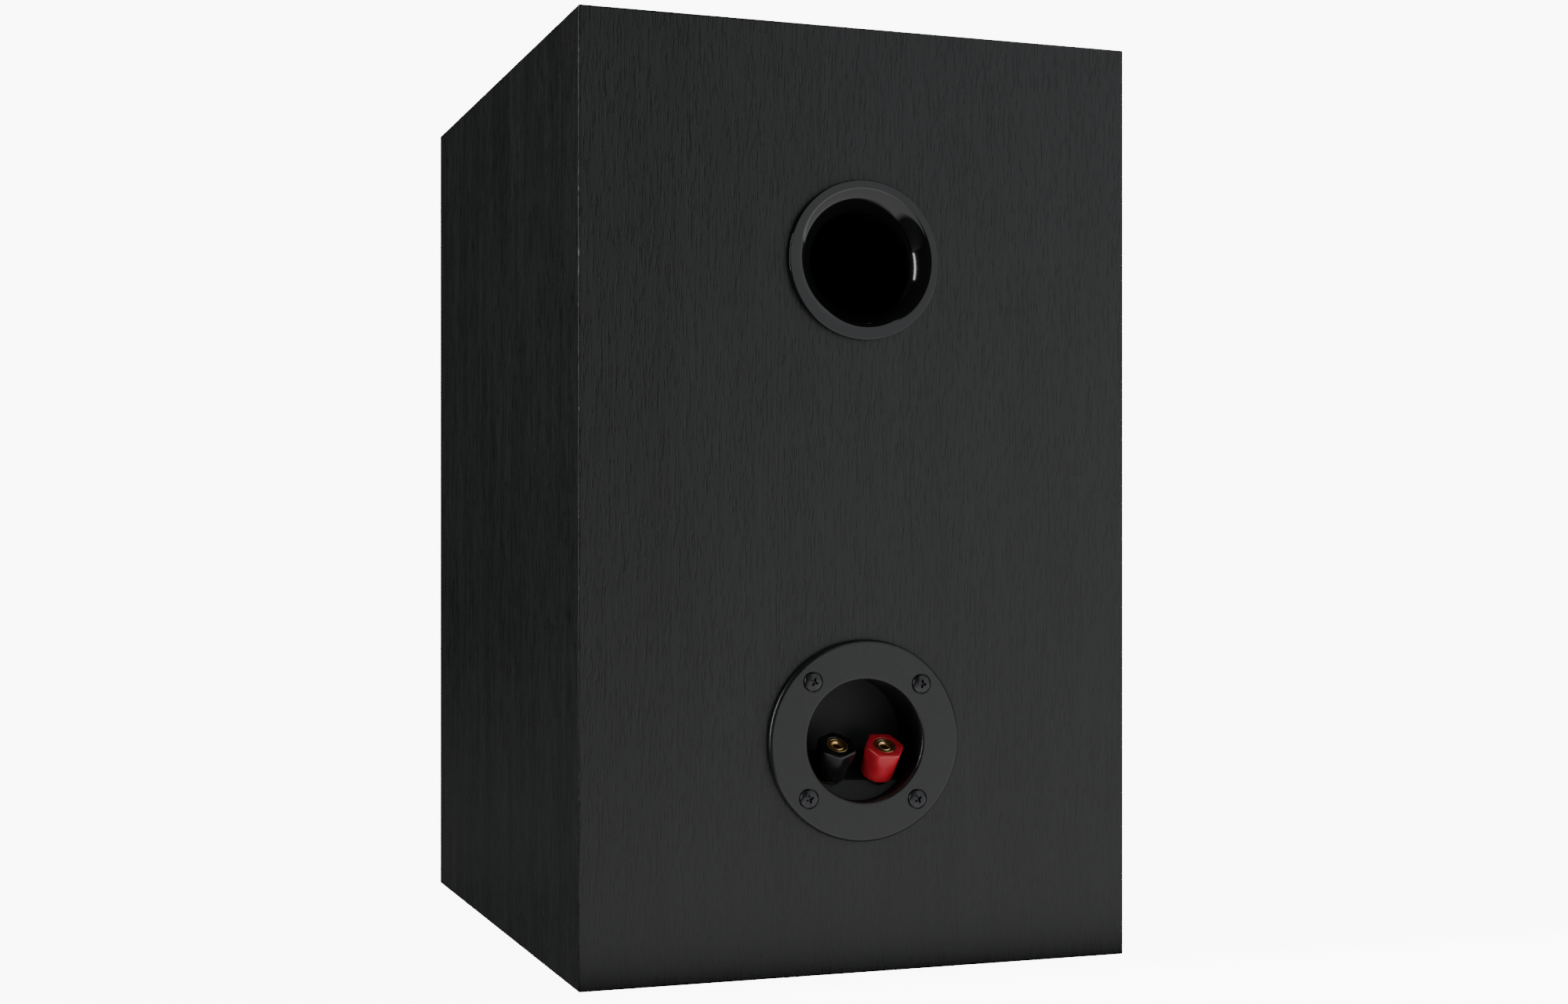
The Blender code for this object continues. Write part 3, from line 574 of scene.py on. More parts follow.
def thickened(line: Profile, thickness: float) -> Profile:
    """Turns an open line into a closed wall.

    Args:
        line: the wall's middle line.
        thickness: the wall's thickness.

    Returns:
        The wall's outline.
    """
    sides: list[Profile] = [[], []]
    for index, (radius, height) in enumerate(line):
        before, after = Vector(line[max(index - 1, 0)]), Vector(line[min(index + 1, len(line) - 1)])
        along = (after - before).normalized()
        for side, sign in zip(sides, (1, -1)):
            offset = Vector((-along.y, along.x)) * (sign * thickness / 2)
            side.append((0.0 if radius == 0 else radius + offset.x, height + offset.y))
    return sides[0] + sides[1][::-1]


def offset_outline(outline: Profile, distance: float) -> Profile:
    """An anticlockwise outline moved outwards, or inwards where the distance is negative."""
    if distance == 0:
        return list(outline)
    result: Profile = []
    for index, point in enumerate(outline):
        before, after = Vector(outline[index - 1]), Vector(outline[(index + 1) % len(outline)])
        ahead, behind_side = (after - Vector(point)).normalized(), (Vector(point) - before).normalized()
        normal = Vector((ahead.y + behind_side.y, -ahead.x - behind_side.x)).normalized()
        reach = distance / max(0.5, normal.dot(Vector((ahead.y, -ahead.x))))
        result.append((point[0] + normal.x * reach, point[1] + normal.y * reach))
    return result


def rounded_window(half_width: float, low: float, high: float, low_radius: float,
                   high_radius: float, steps: int = 8) -> Profile:
    """The outline of an upright opening.

    Args:
        half_width: half of its width.
        low: its lower edge.
        high: its upper edge.
        low_radius: the radius of its lower corners.
        high_radius: the radius of its upper corners.
        steps: how many chords each corner has.

    Returns:
        The outline, anticlockwise.
    """
    low_in, high_in = half_width - low_radius, half_width - high_radius
    outline = arc(low_in, low + low_radius, low_radius, -90, 0, steps)
    outline += arc(high_in, high - high_radius, high_radius, 0, 90, steps)
    outline += arc(-high_in, high - high_radius, high_radius, 90, 180, steps)
    return outline + arc(-low_in, low + low_radius, low_radius, 180, 270, steps)


def to_mesh(shape: bmesh.types.BMesh, name: str, recalculate: bool = True) -> bpy.types.Mesh:
    """Ends a bmesh as a mesh whose faces point outwards."""
    if recalculate:
        bmesh.ops.recalc_face_normals(shape, faces=shape.faces)
    mesh = bpy.data.meshes.new(name)
    shape.to_mesh(mesh)
    shape.free()
    return mesh


def revolve(name: str, profile: Profile, sides: int) -> bpy.types.Mesh:
    """Turns a closed outline once round local Z.

    Args:
        name: the mesh's name.
        profile: radii and heights. Points at radius 0 become poles.
        sides: how many faces go round.

    Returns:
        The closed mesh.
    """
    shape = bmesh.new()
    angles = [FULL_TURN * i / sides for i in range(sides)]
    rings = []
    for radius, height in profile:
        spots = angles if radius > 0 else [0.0]
        rings.append([shape.verts.new((radius * MM * math.cos(a), radius * MM * math.sin(a),
                                       height * MM)) for a in spots])
    for lower, upper in zip(rings, rings[1:] + rings[:1]):
        if len(lower) == len(upper) == 1:
            continue
        for i in range(sides):
            j = (i + 1) % sides
            corners = [lower[i % len(lower)], lower[j % len(lower)], upper[j % len(upper)],
                       upper[i % len(upper)]]
            shape.faces.new(dict.fromkeys(corners))
    return to_mesh(shape, name)


def layered(name: str, outline: Profile, layers: Sequence[tuple[float, float]],
            mapped: bool = False) -> bpy.types.Mesh:
    """A closed solid whose layers are one outline, grown or shrunk.

    Args:
        name: the mesh's name.
        outline: the outline in the local XY plane, anticlockwise.
        layers: how far each layer is moved outwards, and its height. The ends are filled.
        mapped: whether to write a UV map in metres, unrolled from the first layer.

    Returns:
        The closed mesh.
    """
    shape = bmesh.new()
    unrolled: list[Vector] = []
    rings = []
    walked, last = 0.0, layers[0]
    for growth, height in layers:
        walked += (Vector((growth, height)) - Vector(last)).length
        last = (growth, height)
        flat = offset_outline(outline, layers[0][0] + walked)
        unrolled += [Vector(point) * MM for point in flat]
        rings.append([shape.verts.new((x * MM, y * MM, height * MM))
                      for x, y in offset_outline(outline, growth)])
    for lower, upper in zip(rings, rings[1:]):
        for i in range(len(lower)):
            shape.faces.new((lower[i - 1], lower[i], upper[i], upper[i - 1]))
    for ring in (rings[0], rings[-1]):
        shape.faces.new(ring)
    if mapped:
        shape.verts.index_update()
        weave = shape.loops.layers.uv.new(WEAVE_MAP)
        for face in shape.faces:
            for loop in face.loops:
                loop[weave].uv = unrolled[loop.vert.index]
    return to_mesh(shape, name)


def prism(name: str, outline: Profile, low: float, high: float) -> bpy.types.Mesh:
    """A straight solid between two heights."""
    return layered(name, outline, [(0, low), (0, high)])


def rod(name: str, place: tuple[float, float], radius: float, low: float, high: float,
        sides: int = 32) -> bpy.types.Mesh:
    """A cylinder along local Z, mostly for drilling."""
    return prism(name, arc(*place, radius, 0, 360 * (sides - 1) / sides, sides - 1), low, high)


def joined(name: str, meshes: Iterable[bpy.types.Mesh]) -> bpy.types.Mesh:
    """Several meshes as one, which are then removed."""
    shape = bmesh.new()
    materials: list[bpy.types.Material] = []
    for mesh in meshes:
        shape.from_mesh(mesh)
        materials = materials or list(mesh.materials)
        bpy.data.meshes.remove(mesh)
    result = to_mesh(shape, name, recalculate=False)
    for material in materials:
        result.materials.append(material)
    return result


def placed(mesh: bpy.types.Mesh, place: Matrix) -> bpy.types.Mesh:
    """The same mesh, moved."""
    mesh.transform(place)
    return mesh


def shift(x: float, y: float, z: float) -> Matrix:
    """A move in millimetres."""
    return Matrix.Translation((x * MM, y * MM, z * MM))


def evaluated(obj: bpy.types.Object) -> bpy.types.Mesh:
    """What an object's modifiers make, as a plain mesh. The object is removed."""
    bpy.context.view_layer.update()
    graph = bpy.context.evaluated_depsgraph_get()
    mesh = bpy.data.meshes.new_from_object(obj.evaluated_get(graph), depsgraph=graph)
    bpy.data.objects.remove(obj)
    return mesh


def stand_in(name: str, mesh: bpy.types.Mesh) -> bpy.types.Object:
    """A working object that holds a mesh while modifiers change it."""
    obj = bpy.data.objects.new(name, mesh)
    bpy.context.scene.collection.objects.link(obj)
    return obj


def carve(mesh: bpy.types.Mesh, tools: Sequence[bpy.types.Mesh],
          operation: str = "DIFFERENCE") -> bpy.types.Mesh:
    """Cuts, joins or intersects a mesh with tools, which are used up.

    Args:
        mesh: the mesh to work on.
        tools: the other meshes, in the same frame.
        operation: DIFFERENCE, UNION or INTERSECT.

    Returns:
        The new mesh.
    """
    obj = stand_in(mesh.name, mesh)
    helpers = [stand_in(f"{mesh.name}_tool", tool) for tool in tools]
    for helper in helpers:
        boolean = obj.modifiers.new(helper.name, "BOOLEAN")
        boolean.operation = operation
        boolean.solver = "EXACT"
        boolean.object = helper
    result = evaluated(obj)
    for helper in helpers:
        bpy.data.objects.remove(helper)
    return result


def add_piece(name: str, mesh: bpy.types.Mesh, finishes: Finish | Sequence[Finish],
              body: Body | None, replaced: Sequence[str] = (), place: Matrix = NO_TURN,
              sharp: float = 32) -> bpy.types.Object:
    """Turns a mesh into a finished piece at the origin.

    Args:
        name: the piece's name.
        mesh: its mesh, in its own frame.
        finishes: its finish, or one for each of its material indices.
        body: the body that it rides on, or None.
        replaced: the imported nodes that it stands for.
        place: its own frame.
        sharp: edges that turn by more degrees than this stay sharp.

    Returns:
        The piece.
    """
    kinds = [finishes] if isinstance(finishes, Finish) else list(finishes)
    mesh.transform(place)
    indices = [polygon.material_index for polygon in mesh.polygons] if len(kinds) > 1 else []
    mesh.materials.clear()
    for finish in kinds:
        mesh.materials.append(finish.build())
    if indices:
        mesh.polygons.foreach_set("material_index", indices)
    mesh.shade_smooth()
    mesh.set_sharp_from_angle(angle=math.radians(sharp))
    working = stand_in(f"{name}_working", mesh)
    weighted = working.modifiers.new("weighted", "WEIGHTED_NORMAL")
    weighted.keep_sharp = True
    weighted.weight = 80
    piece = stand_in(name, evaluated(working))
    piece.data.name = name
    if body:
        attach(piece, body.value)
    if replaced:
        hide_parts(*replaced)
    log.info("%s: %d faces", name, len(piece.data.polygons))
    return piece


# Geometry Nodes

class GeometryTree(Wiring):
    """A Geometry Nodes tree with named inputs, which grows plain meshes."""

    def __init__(self, name: str) -> None:
        """Starts an empty tree."""
        super().__init__(bpy.data.node_groups.new(name, "GeometryNodeTree"))
        self.identifiers: dict[str, str] = {}
        self.tree.interface.new_socket("Geometry", in_out="OUTPUT",
                                       socket_type=SocketKind.GEOMETRY.value)
        self.tree.interface.new_socket("Geometry", in_out="INPUT",
                                       socket_type=SocketKind.GEOMETRY.value)
        self.entry = self.tree.nodes.new("NodeGroupInput")
        self.exit = self.tree.nodes.new("NodeGroupOutput")

    def named(self, name: str, kind: SocketKind = SocketKind.NUMBER) -> Field:
        """Adds one named input.

        Args:
            name: the input's name.
            kind: its kind.

        Returns:
            The input as a field.
        """
        item = self.tree.interface.new_socket(name, in_out="INPUT", socket_type=kind.value)
        self.identifiers[name] = item.identifier
        return Field(self, self.entry.outputs[name])

    def close(self, geometry: bpy.types.NodeSocket) -> None:
        """Ends the tree with real instances, smooth faces and a material."""
        real = self.node("GeometryNodeRealizeInstances", {"Geometry": geometry})
        smooth = self.node("GeometryNodeSetShadeSmooth", {0: real.outputs[0]})
        dressed = self.node("GeometryNodeSetMaterial", {
            "Geometry": smooth.outputs[0], "Material": self.named("Finish", SocketKind.MATERIAL)})
        self.tree.links.new(dressed.outputs[0], self.exit.inputs[0])

    def grow(self, name: str, finish: Finish, host: bpy.types.Mesh | None = None,
             **values: float | int | bpy.types.Object) -> bpy.types.Mesh:
        """Runs the tree once.

        Args:
            name: the mesh's name.
            finish: the finish of what it makes.
            host: the mesh that it starts from, where it needs one.
            values: its named inputs, with underscores for spaces.

        Returns:
            The plain mesh.
        """
        obj = stand_in(name, host or bpy.data.meshes.new(name))
        modifier = obj.modifiers.new(name, "NODES")
        modifier.node_group = self.tree
        modifier[self.identifiers["Finish"]] = finish.build()
        for key, value in values.items():
            modifier[self.identifiers[key.replace("_", " ")]] = value
        return evaluated(obj)


class Repeater(GeometryTree):
    """Sets a copy of a master piece on every point of its host, each with a roll of its own."""

    def __init__(self) -> None:
        """Builds the tree."""
        super().__init__("repeated_piece")
        master = self.named("Master", SocketKind.OBJECT)
        roll = self.named("Roll")
        info = self.node("GeometryNodeObjectInfo", {"Object": master})
        chance = self.node("FunctionNodeRandomValue", {"Seed": 7}, data_type="FLOAT")
        numbers = [socket for socket in chance.inputs if socket.type == "VALUE"]
        numbers[0].default_value, numbers[1].default_value = -1.0, 1.0
        share = next(socket for socket in chance.outputs if socket.type == "VALUE")
        turn = self.node("ShaderNodeCombineXYZ", {"Z": Field(self, share) * roll})
        copies = self.node("GeometryNodeInstanceOnPoints", {
            "Points": self.entry.outputs["Geometry"], "Instance": info.outputs["Geometry"],
            "Rotation": turn.outputs[0]})
        self.close(copies.outputs[0])

    def repeat(self, name: str, master: bpy.types.Mesh, finish: Finish,
               places: Sequence[Place], roll: float = 0.0) -> bpy.types.Mesh:
        """Copies a master piece.

        Args:
            name: the mesh's name.
            master: the mesh to copy, which is used up.
            finish: the copies' finish.
            places: where the copies go, in millimetres.
            roll: the most that a copy is turned about local Z, in degrees.

        Returns:
            All the copies as one mesh.
        """
        master.shade_smooth()
        master.set_sharp_from_angle(angle=math.radians(32))
        pattern = stand_in(f"{name}_master", master)
        host = bpy.data.meshes.new(name)
        host.from_pydata([Vector(place) * MM for place in places], [], [])
        mesh = self.grow(name, finish, host, Master=pattern, Roll=math.radians(roll))
        bpy.data.objects.remove(pattern)
        return mesh


class Winder(GeometryTree):
    """Winds a round wire in a helix or a flat spiral about local Z."""

    def __init__(self) -> None:
        """Builds the tree."""
        super().__init__("wound_wire")
        spiral = self.node("GeometryNodeCurveSpiral", {
            "Resolution": self.named("Steps", SocketKind.COUNT), "Rotations": self.named("Turns"),
            "Start Radius": self.named("Start Radius"), "End Radius": self.named("End Radius"),
            "Height": self.named("Height")})
        section = self.node("GeometryNodeCurvePrimitiveCircle", {
            "Resolution": self.named("Sides", SocketKind.COUNT),
            "Radius": self.named("Wire Radius")})
        wire = self.node("GeometryNodeCurveToMesh", {
            "Curve": spiral.outputs[0], "Profile Curve": section.outputs[0], "Fill Caps": True})
        self.close(wire.outputs[0])

    def wind(self, name: str, finish: Finish, turns: float, radii: tuple[float, float],
             height: float, wire: float, steps: int = 40, sides: int = 7) -> bpy.types.Mesh:
        """Winds one layer.

        Args:
            name: the mesh's name.
            finish: the wire's finish.
            turns: how many turns it has.
            radii: the first and last radius of its middle line.
            height: how far it climbs.
            wire: the wire's radius.
            steps: chords in a turn.
            sides: sides of the wire.

        Returns:
            The wire's mesh, starting at height 0.
        """
        return self.grow(name, finish, Steps=steps, Turns=turns, Start_Radius=radii[0] * MM,
                         End_Radius=radii[1] * MM, Height=height * MM, Sides=sides,
                         Wire_Radius=wire * MM)


class Sleeve(GeometryTree):
    """Draws a round wire along its host, a chain of points."""

    def __init__(self) -> None:
        """Builds the tree."""
        super().__init__("drawn_wire")
        path = self.node("GeometryNodeMeshToCurve", {"Mesh": self.entry.outputs["Geometry"]})
        section = self.node("GeometryNodeCurvePrimitiveCircle", {
            "Resolution": self.named("Sides", SocketKind.COUNT), "Radius": self.named("Radius")})
        wire = self.node("GeometryNodeCurveToMesh", {
            "Curve": path.outputs[0], "Profile Curve": section.outputs[0], "Fill Caps": True})
        self.close(wire.outputs[0])

    def draw(self, name: str, finish: Finish, route: Sequence[Vector], radius: float,
             sides: int = 14) -> bpy.types.Mesh:
        """Draws one wire.

        Args:
            name: the mesh's name.
            finish: its finish.
            route: its middle line, in millimetres.
            radius: its radius, in millimetres.
            sides: its sides.

        Returns:
            The wire's mesh.
        """
        host = bpy.data.meshes.new(name)
        host.from_pydata([point * MM for point in route],
                         [(i, i + 1) for i in range(len(route) - 1)], [])
        return self.grow(name, finish, host, Sides=sides, Radius=radius * MM)


class SuspensionRing(GeometryTree):
    """Shapes one sector of a suspension ring, a thin wall that follows a rule across its width."""

    def __init__(self, rule: Rule) -> None:
        """Builds the tree for one rule."""
        super().__init__(f"suspension_{rule.name.lower()}")
        inner, outer, height = (self.named(n) for n in ("Inner Radius", "Outer Radius", "Height"))
        thickness, start, sweep = (self.named(n) for n in ("Thickness", "Start", "Sweep"))
        waves = self.named("Waves")
        grid = self.node("GeometryNodeMeshGrid", {
            "Size X": 1.0, "Size Y": 1.0, "Vertices X": self.named("Around", SocketKind.COUNT),
            "Vertices Y": self.named("Across", SocketKind.COUNT)})
        x, y, _ = self.parts(self.node("GeometryNodeInputPosition").outputs[0])
        share = y + 0.5
        if rule is Rule.ROLL:
            swing = share * math.pi
            width = (swing.calc("COSINE") * -1.0 + 1.0) * 0.5
            rise = swing.calc("SINE")
        else:
            width = share
            rise = (share * waves * FULL_TURN).calc("SINE")
        radius = inner + width * (outer - inner)
        angle = start + (x + 0.5) * sweep
        spot = self.node("ShaderNodeCombineXYZ", {
            "X": radius * angle.calc("COSINE"), "Y": radius * angle.calc("SINE"),
            "Z": rise * height})
        skin = self.node("GeometryNodeSetPosition", {
            "Geometry": grid.outputs["Mesh"], "Position": spot.outputs[0]})
        back = self.node("GeometryNodeFlipFaces", {0: skin.outputs[0]})
        front = self.node("GeometryNodeExtrudeMesh", {
            "Mesh": skin.outputs[0], "Offset Scale": thickness, "Individual": False})
        both = self.node("GeometryNodeJoinGeometry",
                         {"Geometry": [back.outputs[0], front.outputs["Mesh"]]})
        closed = self.node("GeometryNodeMergeByDistance",
                           {"Geometry": both.outputs[0], "Distance": 0.001 * MM})
        self.close(closed.outputs[0])


@dataclass
class Toolbox:
    """The geometry trees that the assemblies share."""

    repeater: Repeater
    winder: Winder
    sleeve: Sleeve
    rolls: SuspensionRing
    pleats: SuspensionRing

    @classmethod
    def stocked(cls) -> "Toolbox":
        """A toolbox with every tree built."""
        return cls(Repeater(), Winder(), Sleeve(), SuspensionRing(Rule.ROLL),
                   SuspensionRing(Rule.PLEATS))


# Fasteners

def cross_outline(reach: float, half_width: float) -> Profile:
    """A cross whose arms taper, anticlockwise."""
    tip = 0.7 * half_width
    quarter = [(reach, -tip), (reach, tip), (half_width, half_width)]
    outline: Profile = []
    for _ in range(4):
        outline += quarter
        quarter = [(-up, across) for across, up in quarter]
    return outline


@dataclass
class PanScrew:
    """A pan-head screw with a cross recess. Local Z is its axis, and its head sits at Z 0."""

    head_radius: float
    head_height: float
    shaft_radius: float
    length: float
    recess_depth: float = 0.72

    def mesh(self) -> bpy.types.Mesh:
        """The screw as one closed mesh."""
        radius, height, shaft = self.head_radius, self.head_height, self.shaft_radius
        dome = [(0, height)] + [
            (radius * math.sin(a) ** 0.75, 0.42 * height + 0.58 * height * math.cos(a) ** 0.8)
            for a in (math.radians(angle) for angle in (18, 34, 48, 60, 70, 79, 86, 90))]
        outline = dome + [(radius, 0.12 * height), (radius - 0.15, 0), (shaft, 0),
                          (shaft, -self.length + 2 * shaft), (0, -self.length)]
        screw = revolve("pan_screw", outline, 40)
        cross = cross_outline(0.44 * radius, 0.15 * radius)
        bottom = height * (1 - self.recess_depth)
        recess = layered("recess", cross, [(0.02, height + 0.5), (0, height),
                                           (-0.07 * radius, bottom)])
        return carve(screw, [recess])


def diagonals(radius: float, height: float = 0.0) -> Route:
    """Four places on a circle, half way between the axes."""
    side = radius / math.sqrt(2)
    return [(-side, -side, height), (side, -side, height), (side, side, height),
            (-side, side, height)]


# Cabinet

@dataclass
class Board:
    """One mitred outer board. Local Z faces out, and the edge at local -Y may be square."""

    name: str
    across: float
    along: float
    wall: float
    rounding: float
    square_front: bool
    seam: float = 0.01

    def rings(self) -> list[tuple[float, float, float]]:
        """Depth, inset of the square edge and inset of the mitred edges of each ring."""
        steps = 6
        rings = []
        for step in range(steps + 1):
            angle = math.pi / 2 * step / steps
            depth = self.rounding * (1 - math.cos(angle))
            inset = self.rounding * (1 - math.sin(angle))
            rings.append((depth, inset, max(inset, depth) + self.seam))
        return rings + [(self.wall, 0.0, self.wall + self.seam)]

    def mesh(self) -> bpy.types.Mesh:
        """The board, with vinyl as material 0 and raw board as material 1."""
        shape = bmesh.new()
        loops = []
        for depth, plain, mitred in self.rings():
            x, high = self.across / 2 - mitred, self.along / 2 - mitred
            low = -self.along / 2 + (plain if self.square_front else mitred)
            loops.append([shape.verts.new((px * MM, py * MM, -depth * MM))
                          for px, py in ((-x, low), (x, low), (x, high), (-x, high))])
        halfway = len(loops) // 2 - 1
        for index, (upper, lower) in enumerate(zip(loops, loops[1:])):
            for side in range(4):
                face = shape.faces.new((upper[side - 1], upper[side], lower[side],
                                        lower[side - 1]))
                edge_is_square = self.square_front and side == 1
                face.material_index = 0 if edge_is_square or index <= halfway else 1
        shape.faces.new(loops[0])
        shape.faces.new(loops[-1]).material_index = 1
        return to_mesh(shape, self.name)


@dataclass
class Cabinet:
    """The five outer boards, the front baffle and the lining."""

    width: float = 219.1
    depth: float = 279.4
    height: float = 355.6
    wall: float = 16.0
    baffle: float = 19.0
    gap: float = 0.3
    rounding: float = 0.9
    port_z: float = 268.1
    port_hole: float = 25.5
    cup_z: float = 87.5
    cup_turn: float = -2.2
    cup_hole: float = 27.3
    cup_screws: float = 21.75 * math.sqrt(2)
    woofer_z: float = 112.0
    woofer_screws: float = 78.5
    tweeter_z: float = 262.0
    tweeter_screws: float = 41.7
    peg_x: float = 84.0
    peg_zs: tuple[float, float] = (28.0, 328.0)

    def port_seat(self) -> Matrix:
        """The port's frame, with Z out of the rear."""
        return shift(0, self.depth / 2, self.port_z) @ FACING_REAR

    def cup_seat(self) -> Matrix:
        """The cup's frame, with Y out of the rear."""
        turn = Matrix.Rotation(math.radians(self.cup_turn), 4, "Y")
        return shift(0, self.depth / 2, self.cup_z) @ turn

    def driver_seat(self, height: float) -> Matrix:
        """The frame of a driver at a height, with Z out of the front."""
        return shift(0, -self.depth / 2, height) @ FACING_FRONT

    def build(self, tools: Toolbox) -> None:
        """Builds every board and the lining."""
        self.build_side_boards()
        self.build_rear_board()
        self.build_baffle()
        self.build_peg_sockets(tools)
        self.build_lining()

    def build_side_boards(self) -> None:
        """The right, left, top and bottom boards, wrapped in one strip of vinyl."""
        quarter, middle = math.pi / 2, self.height / 2
        half = self.width / 2
        for name, place, turn, across, finish in (
                ("right_panel", (half, 0, middle), quarter, self.height, UPRIGHT_VINYL),
                ("left_panel", (-half, 0, middle), -quarter, self.height, UPRIGHT_VINYL),
                ("top_panel", (0, 0, self.height), 0.0, self.width, LEVEL_VINYL),
                ("bottom_panel", (0, 0, 0), math.pi, self.width, LEVEL_VINYL)):
            board = Board(name, across, self.depth, self.wall, self.rounding, True)
            seat = shift(*place) @ Matrix.Rotation(turn, 4, "Y")
            add_piece(f"{name}_wrapped", board.mesh(), (finish, RAW_BOARD), Body.CABINET, [name],
                      seat, sharp=50)

    def build_rear_board(self) -> None:
        """The rear board, with the holes for the port and the cup."""
        board = Board("rear_panel", self.width, self.height, self.wall, self.rounding, False)
        seat = shift(0, self.depth / 2, self.height / 2) @ FACING_REAR
        rear = placed(board.mesh(), seat)
        low, high = -self.wall - 2, 2
        cup_face = self.cup_seat() @ FACING_REAR
        tools = [placed(rod("port_hole", (0, 0), self.port_hole, low, high, 96), self.port_seat()),
                 placed(rod("cup_hole", (0, 0), self.cup_hole, low, high, 96), cup_face)]
        tools += [placed(rod("cup_pilot", place[:2], 1.9, -13, high, 16), cup_face)
                  for place in diagonals(self.cup_screws)]
        rear = carve(rear, tools)
        wrapped = (self.depth / 2 - 0.3 * self.rounding) * MM    # half way round the edge
        for face in rear.polygons:
            face.material_index = 0 if face.center.y > wrapped else 1
        add_piece("rear_panel_wrapped", rear, (UPRIGHT_VINYL, RAW_BOARD), Body.CABINET,
                  ["rear_panel"], sharp=50)

    def build_baffle(self) -> None:
        """The front board, black on its face, with rebates for the drivers."""
        inset = self.wall + self.gap
        half, low, high = self.width / 2 - inset, inset, self.height - inset
        outline = [(-half, low), (half, low), (half, high), (-half, high)]
        seat = self.driver_seat(0)
        baffle = placed(prism("front_baffle", outline, -self.baffle, 0), seat)
        tools = []
        for height, rebate, cutout, screws, pilot in (
                (self.woofer_z, 83.5, 73.5, self.woofer_screws, 2.05),
                (self.tweeter_z, 47.5, 36.0, self.tweeter_screws, 1.9)):
            cut = [(0, 2), (rebate, 2), (rebate, -4.3), (cutout, -4.3), (cutout, -21), (0, -21)]
            driver = self.driver_seat(height)
            tools.append(placed(revolve("driver_cut", cut, 96), driver))
            tools += [placed(rod("pilot", place[:2], pilot, -18, -3, 16), driver)
                      for place in diagonals(screws)]
        tools += [placed(rod("peg_hole", (x, z), 4.4, -11, 1, 32), seat)
                  for x in (-self.peg_x, self.peg_x) for z in self.peg_zs]
        baffle = carve(baffle, tools)
        front = -self.depth / 2 * MM
        for face in baffle.polygons:
            on_face = abs(face.center.y - front) < 0.1 * MM
            face.material_index = 0 if on_face else 1
        add_piece("front_baffle_faced", baffle, (UPRIGHT_VINYL, RAW_BOARD), Body.CABINET,
                  ["front_baffle"])

    def build_peg_sockets(self, tools: Toolbox) -> None:
        """Thin collars round the four peg holes."""
        collar = revolve("peg_collar", softened([(4.45, 0.35), (6.2, 0.35), (6.2, 0.02),
                                                 (4.45, 0.02)], 0.14), 36)
        places = [(x, z, 0.0) for x in (-self.peg_x, self.peg_x) for z in self.peg_zs]
        collars = tools.repeater.repeat("grille_sockets", collar, BLACK_PLASTIC, places)
        add_piece("grille_sockets", collars, BLACK_PLASTIC, Body.CABINET, (), self.driver_seat(0))

    def build_lining(self) -> None:
        """A sheet of wave-cut foam down both sides and under the top."""
        outer, thickness = self.width / 2 - self.wall - self.gap, 12.0
        inner, low = outer - thickness, 40.0
        top = self.height - self.wall - self.gap
        ceiling, corner = top - thickness, 8.0
        outline = [(-outer, low), (-inner, low)]
        outline += arc(corner - inner, ceiling - corner, corner, 180, 90, 6)
        outline += arc(inner - corner, ceiling - corner, corner, 90, 0, 6)
        outline += [(inner, low), (outer, low), (outer, top), (-outer, top)]
        seat = self.driver_seat(0) @ shift(0, 0, -self.depth / 2)
        working = stand_in("lining_working", placed(prism("foam", outline, -109.5, 94.5), seat))
        voxels = working.modifiers.new("voxels", "REMESH")
        voxels.mode = "VOXEL"
        voxels.voxel_size = 3.2 * MM
        smooth = working.modifiers.new("smooth", "SMOOTH")
        smooth.factor, smooth.iterations = 0.5, 4
        foam = evaluated(working)
        pitch, wave = 26 * MM, 3.0 * MM
        for vertex in foam.vertices:
            place = vertex.co
            side = abs(place.x) > (inner - 1) * MM and place.z < (ceiling - corner) * MM
            inside = place.x * vertex.normal.x < 0 if side else vertex.normal.z < -0.5
            if not inside or abs(vertex.normal.y) > 0.6 or place.z < (low + 3) * MM:
                continue
            run = place.z if side else place.x
            swell = math.sin(FULL_TURN * run / pitch) * math.sin(FULL_TURN * place.y / pitch)
            rough = noise.noise(place * 90)
            depth = wave * (0.5 - 0.4 * swell + 0.15 * rough)
            outwards = Vector((math.copysign(1, place.x), 0, 0)) if side else Vector((0, 0, 1))
            vertex.co = place + outwards * depth
        piece = add_piece("foam_lining_cut", foam, FOAM, Body.CABINET, ["foam_lining"], sharp=80)


# Rear fittings

@dataclass
class Port:
    """The glossy flared port."""

    mouth: float = 27.6
    bore: float = 19.0
    face: float = 2.2
    rim: float = 30.0
    tube: float = 21.2
    sleeve: float = 25.2
    length: float = 98.0
    bends: tuple[tuple[float, float], ...] = ((48, 5.694), (60, 30.0), (90, 5.085))

    def flare(self) -> Profile:
        """The flare from its mouth to the bore: a lip, a flatter cone and a last bend."""
        radius, height, angle = self.mouth, self.face, 0.0
        points = [(radius, height)]
        for end, bend in self.bends:
            steps = 12
            turn = math.radians(end) - angle
            for _ in range(steps):
                following = angle + turn / steps
                radius -= bend * (math.sin(following) - math.sin(angle))
                height -= bend * (math.cos(angle) - math.cos(following))
                angle = following
                points.append((radius, height))
        points[-1] = (self.bore, height)
        return points

    def build(self, seat: Matrix) -> None:
        """Builds the tube with its flare."""
        edge = softened([(self.mouth + 0.5, self.face), (self.rim, self.face),
                         (self.rim, 0.3), (self.sleeve, 0.3), (self.sleeve, -14),
                         (self.tube, -14), (self.tube, -self.length),
                         (self.bore, -self.length)], 0.45, 5, closed=False)
        add_piece("flared_port", revolve("flared_port", self.flare()[::-1] + edge, 160), PORT_GLOSS,
                  Body.CABINET, ["port_tube"], seat, sharp=40)


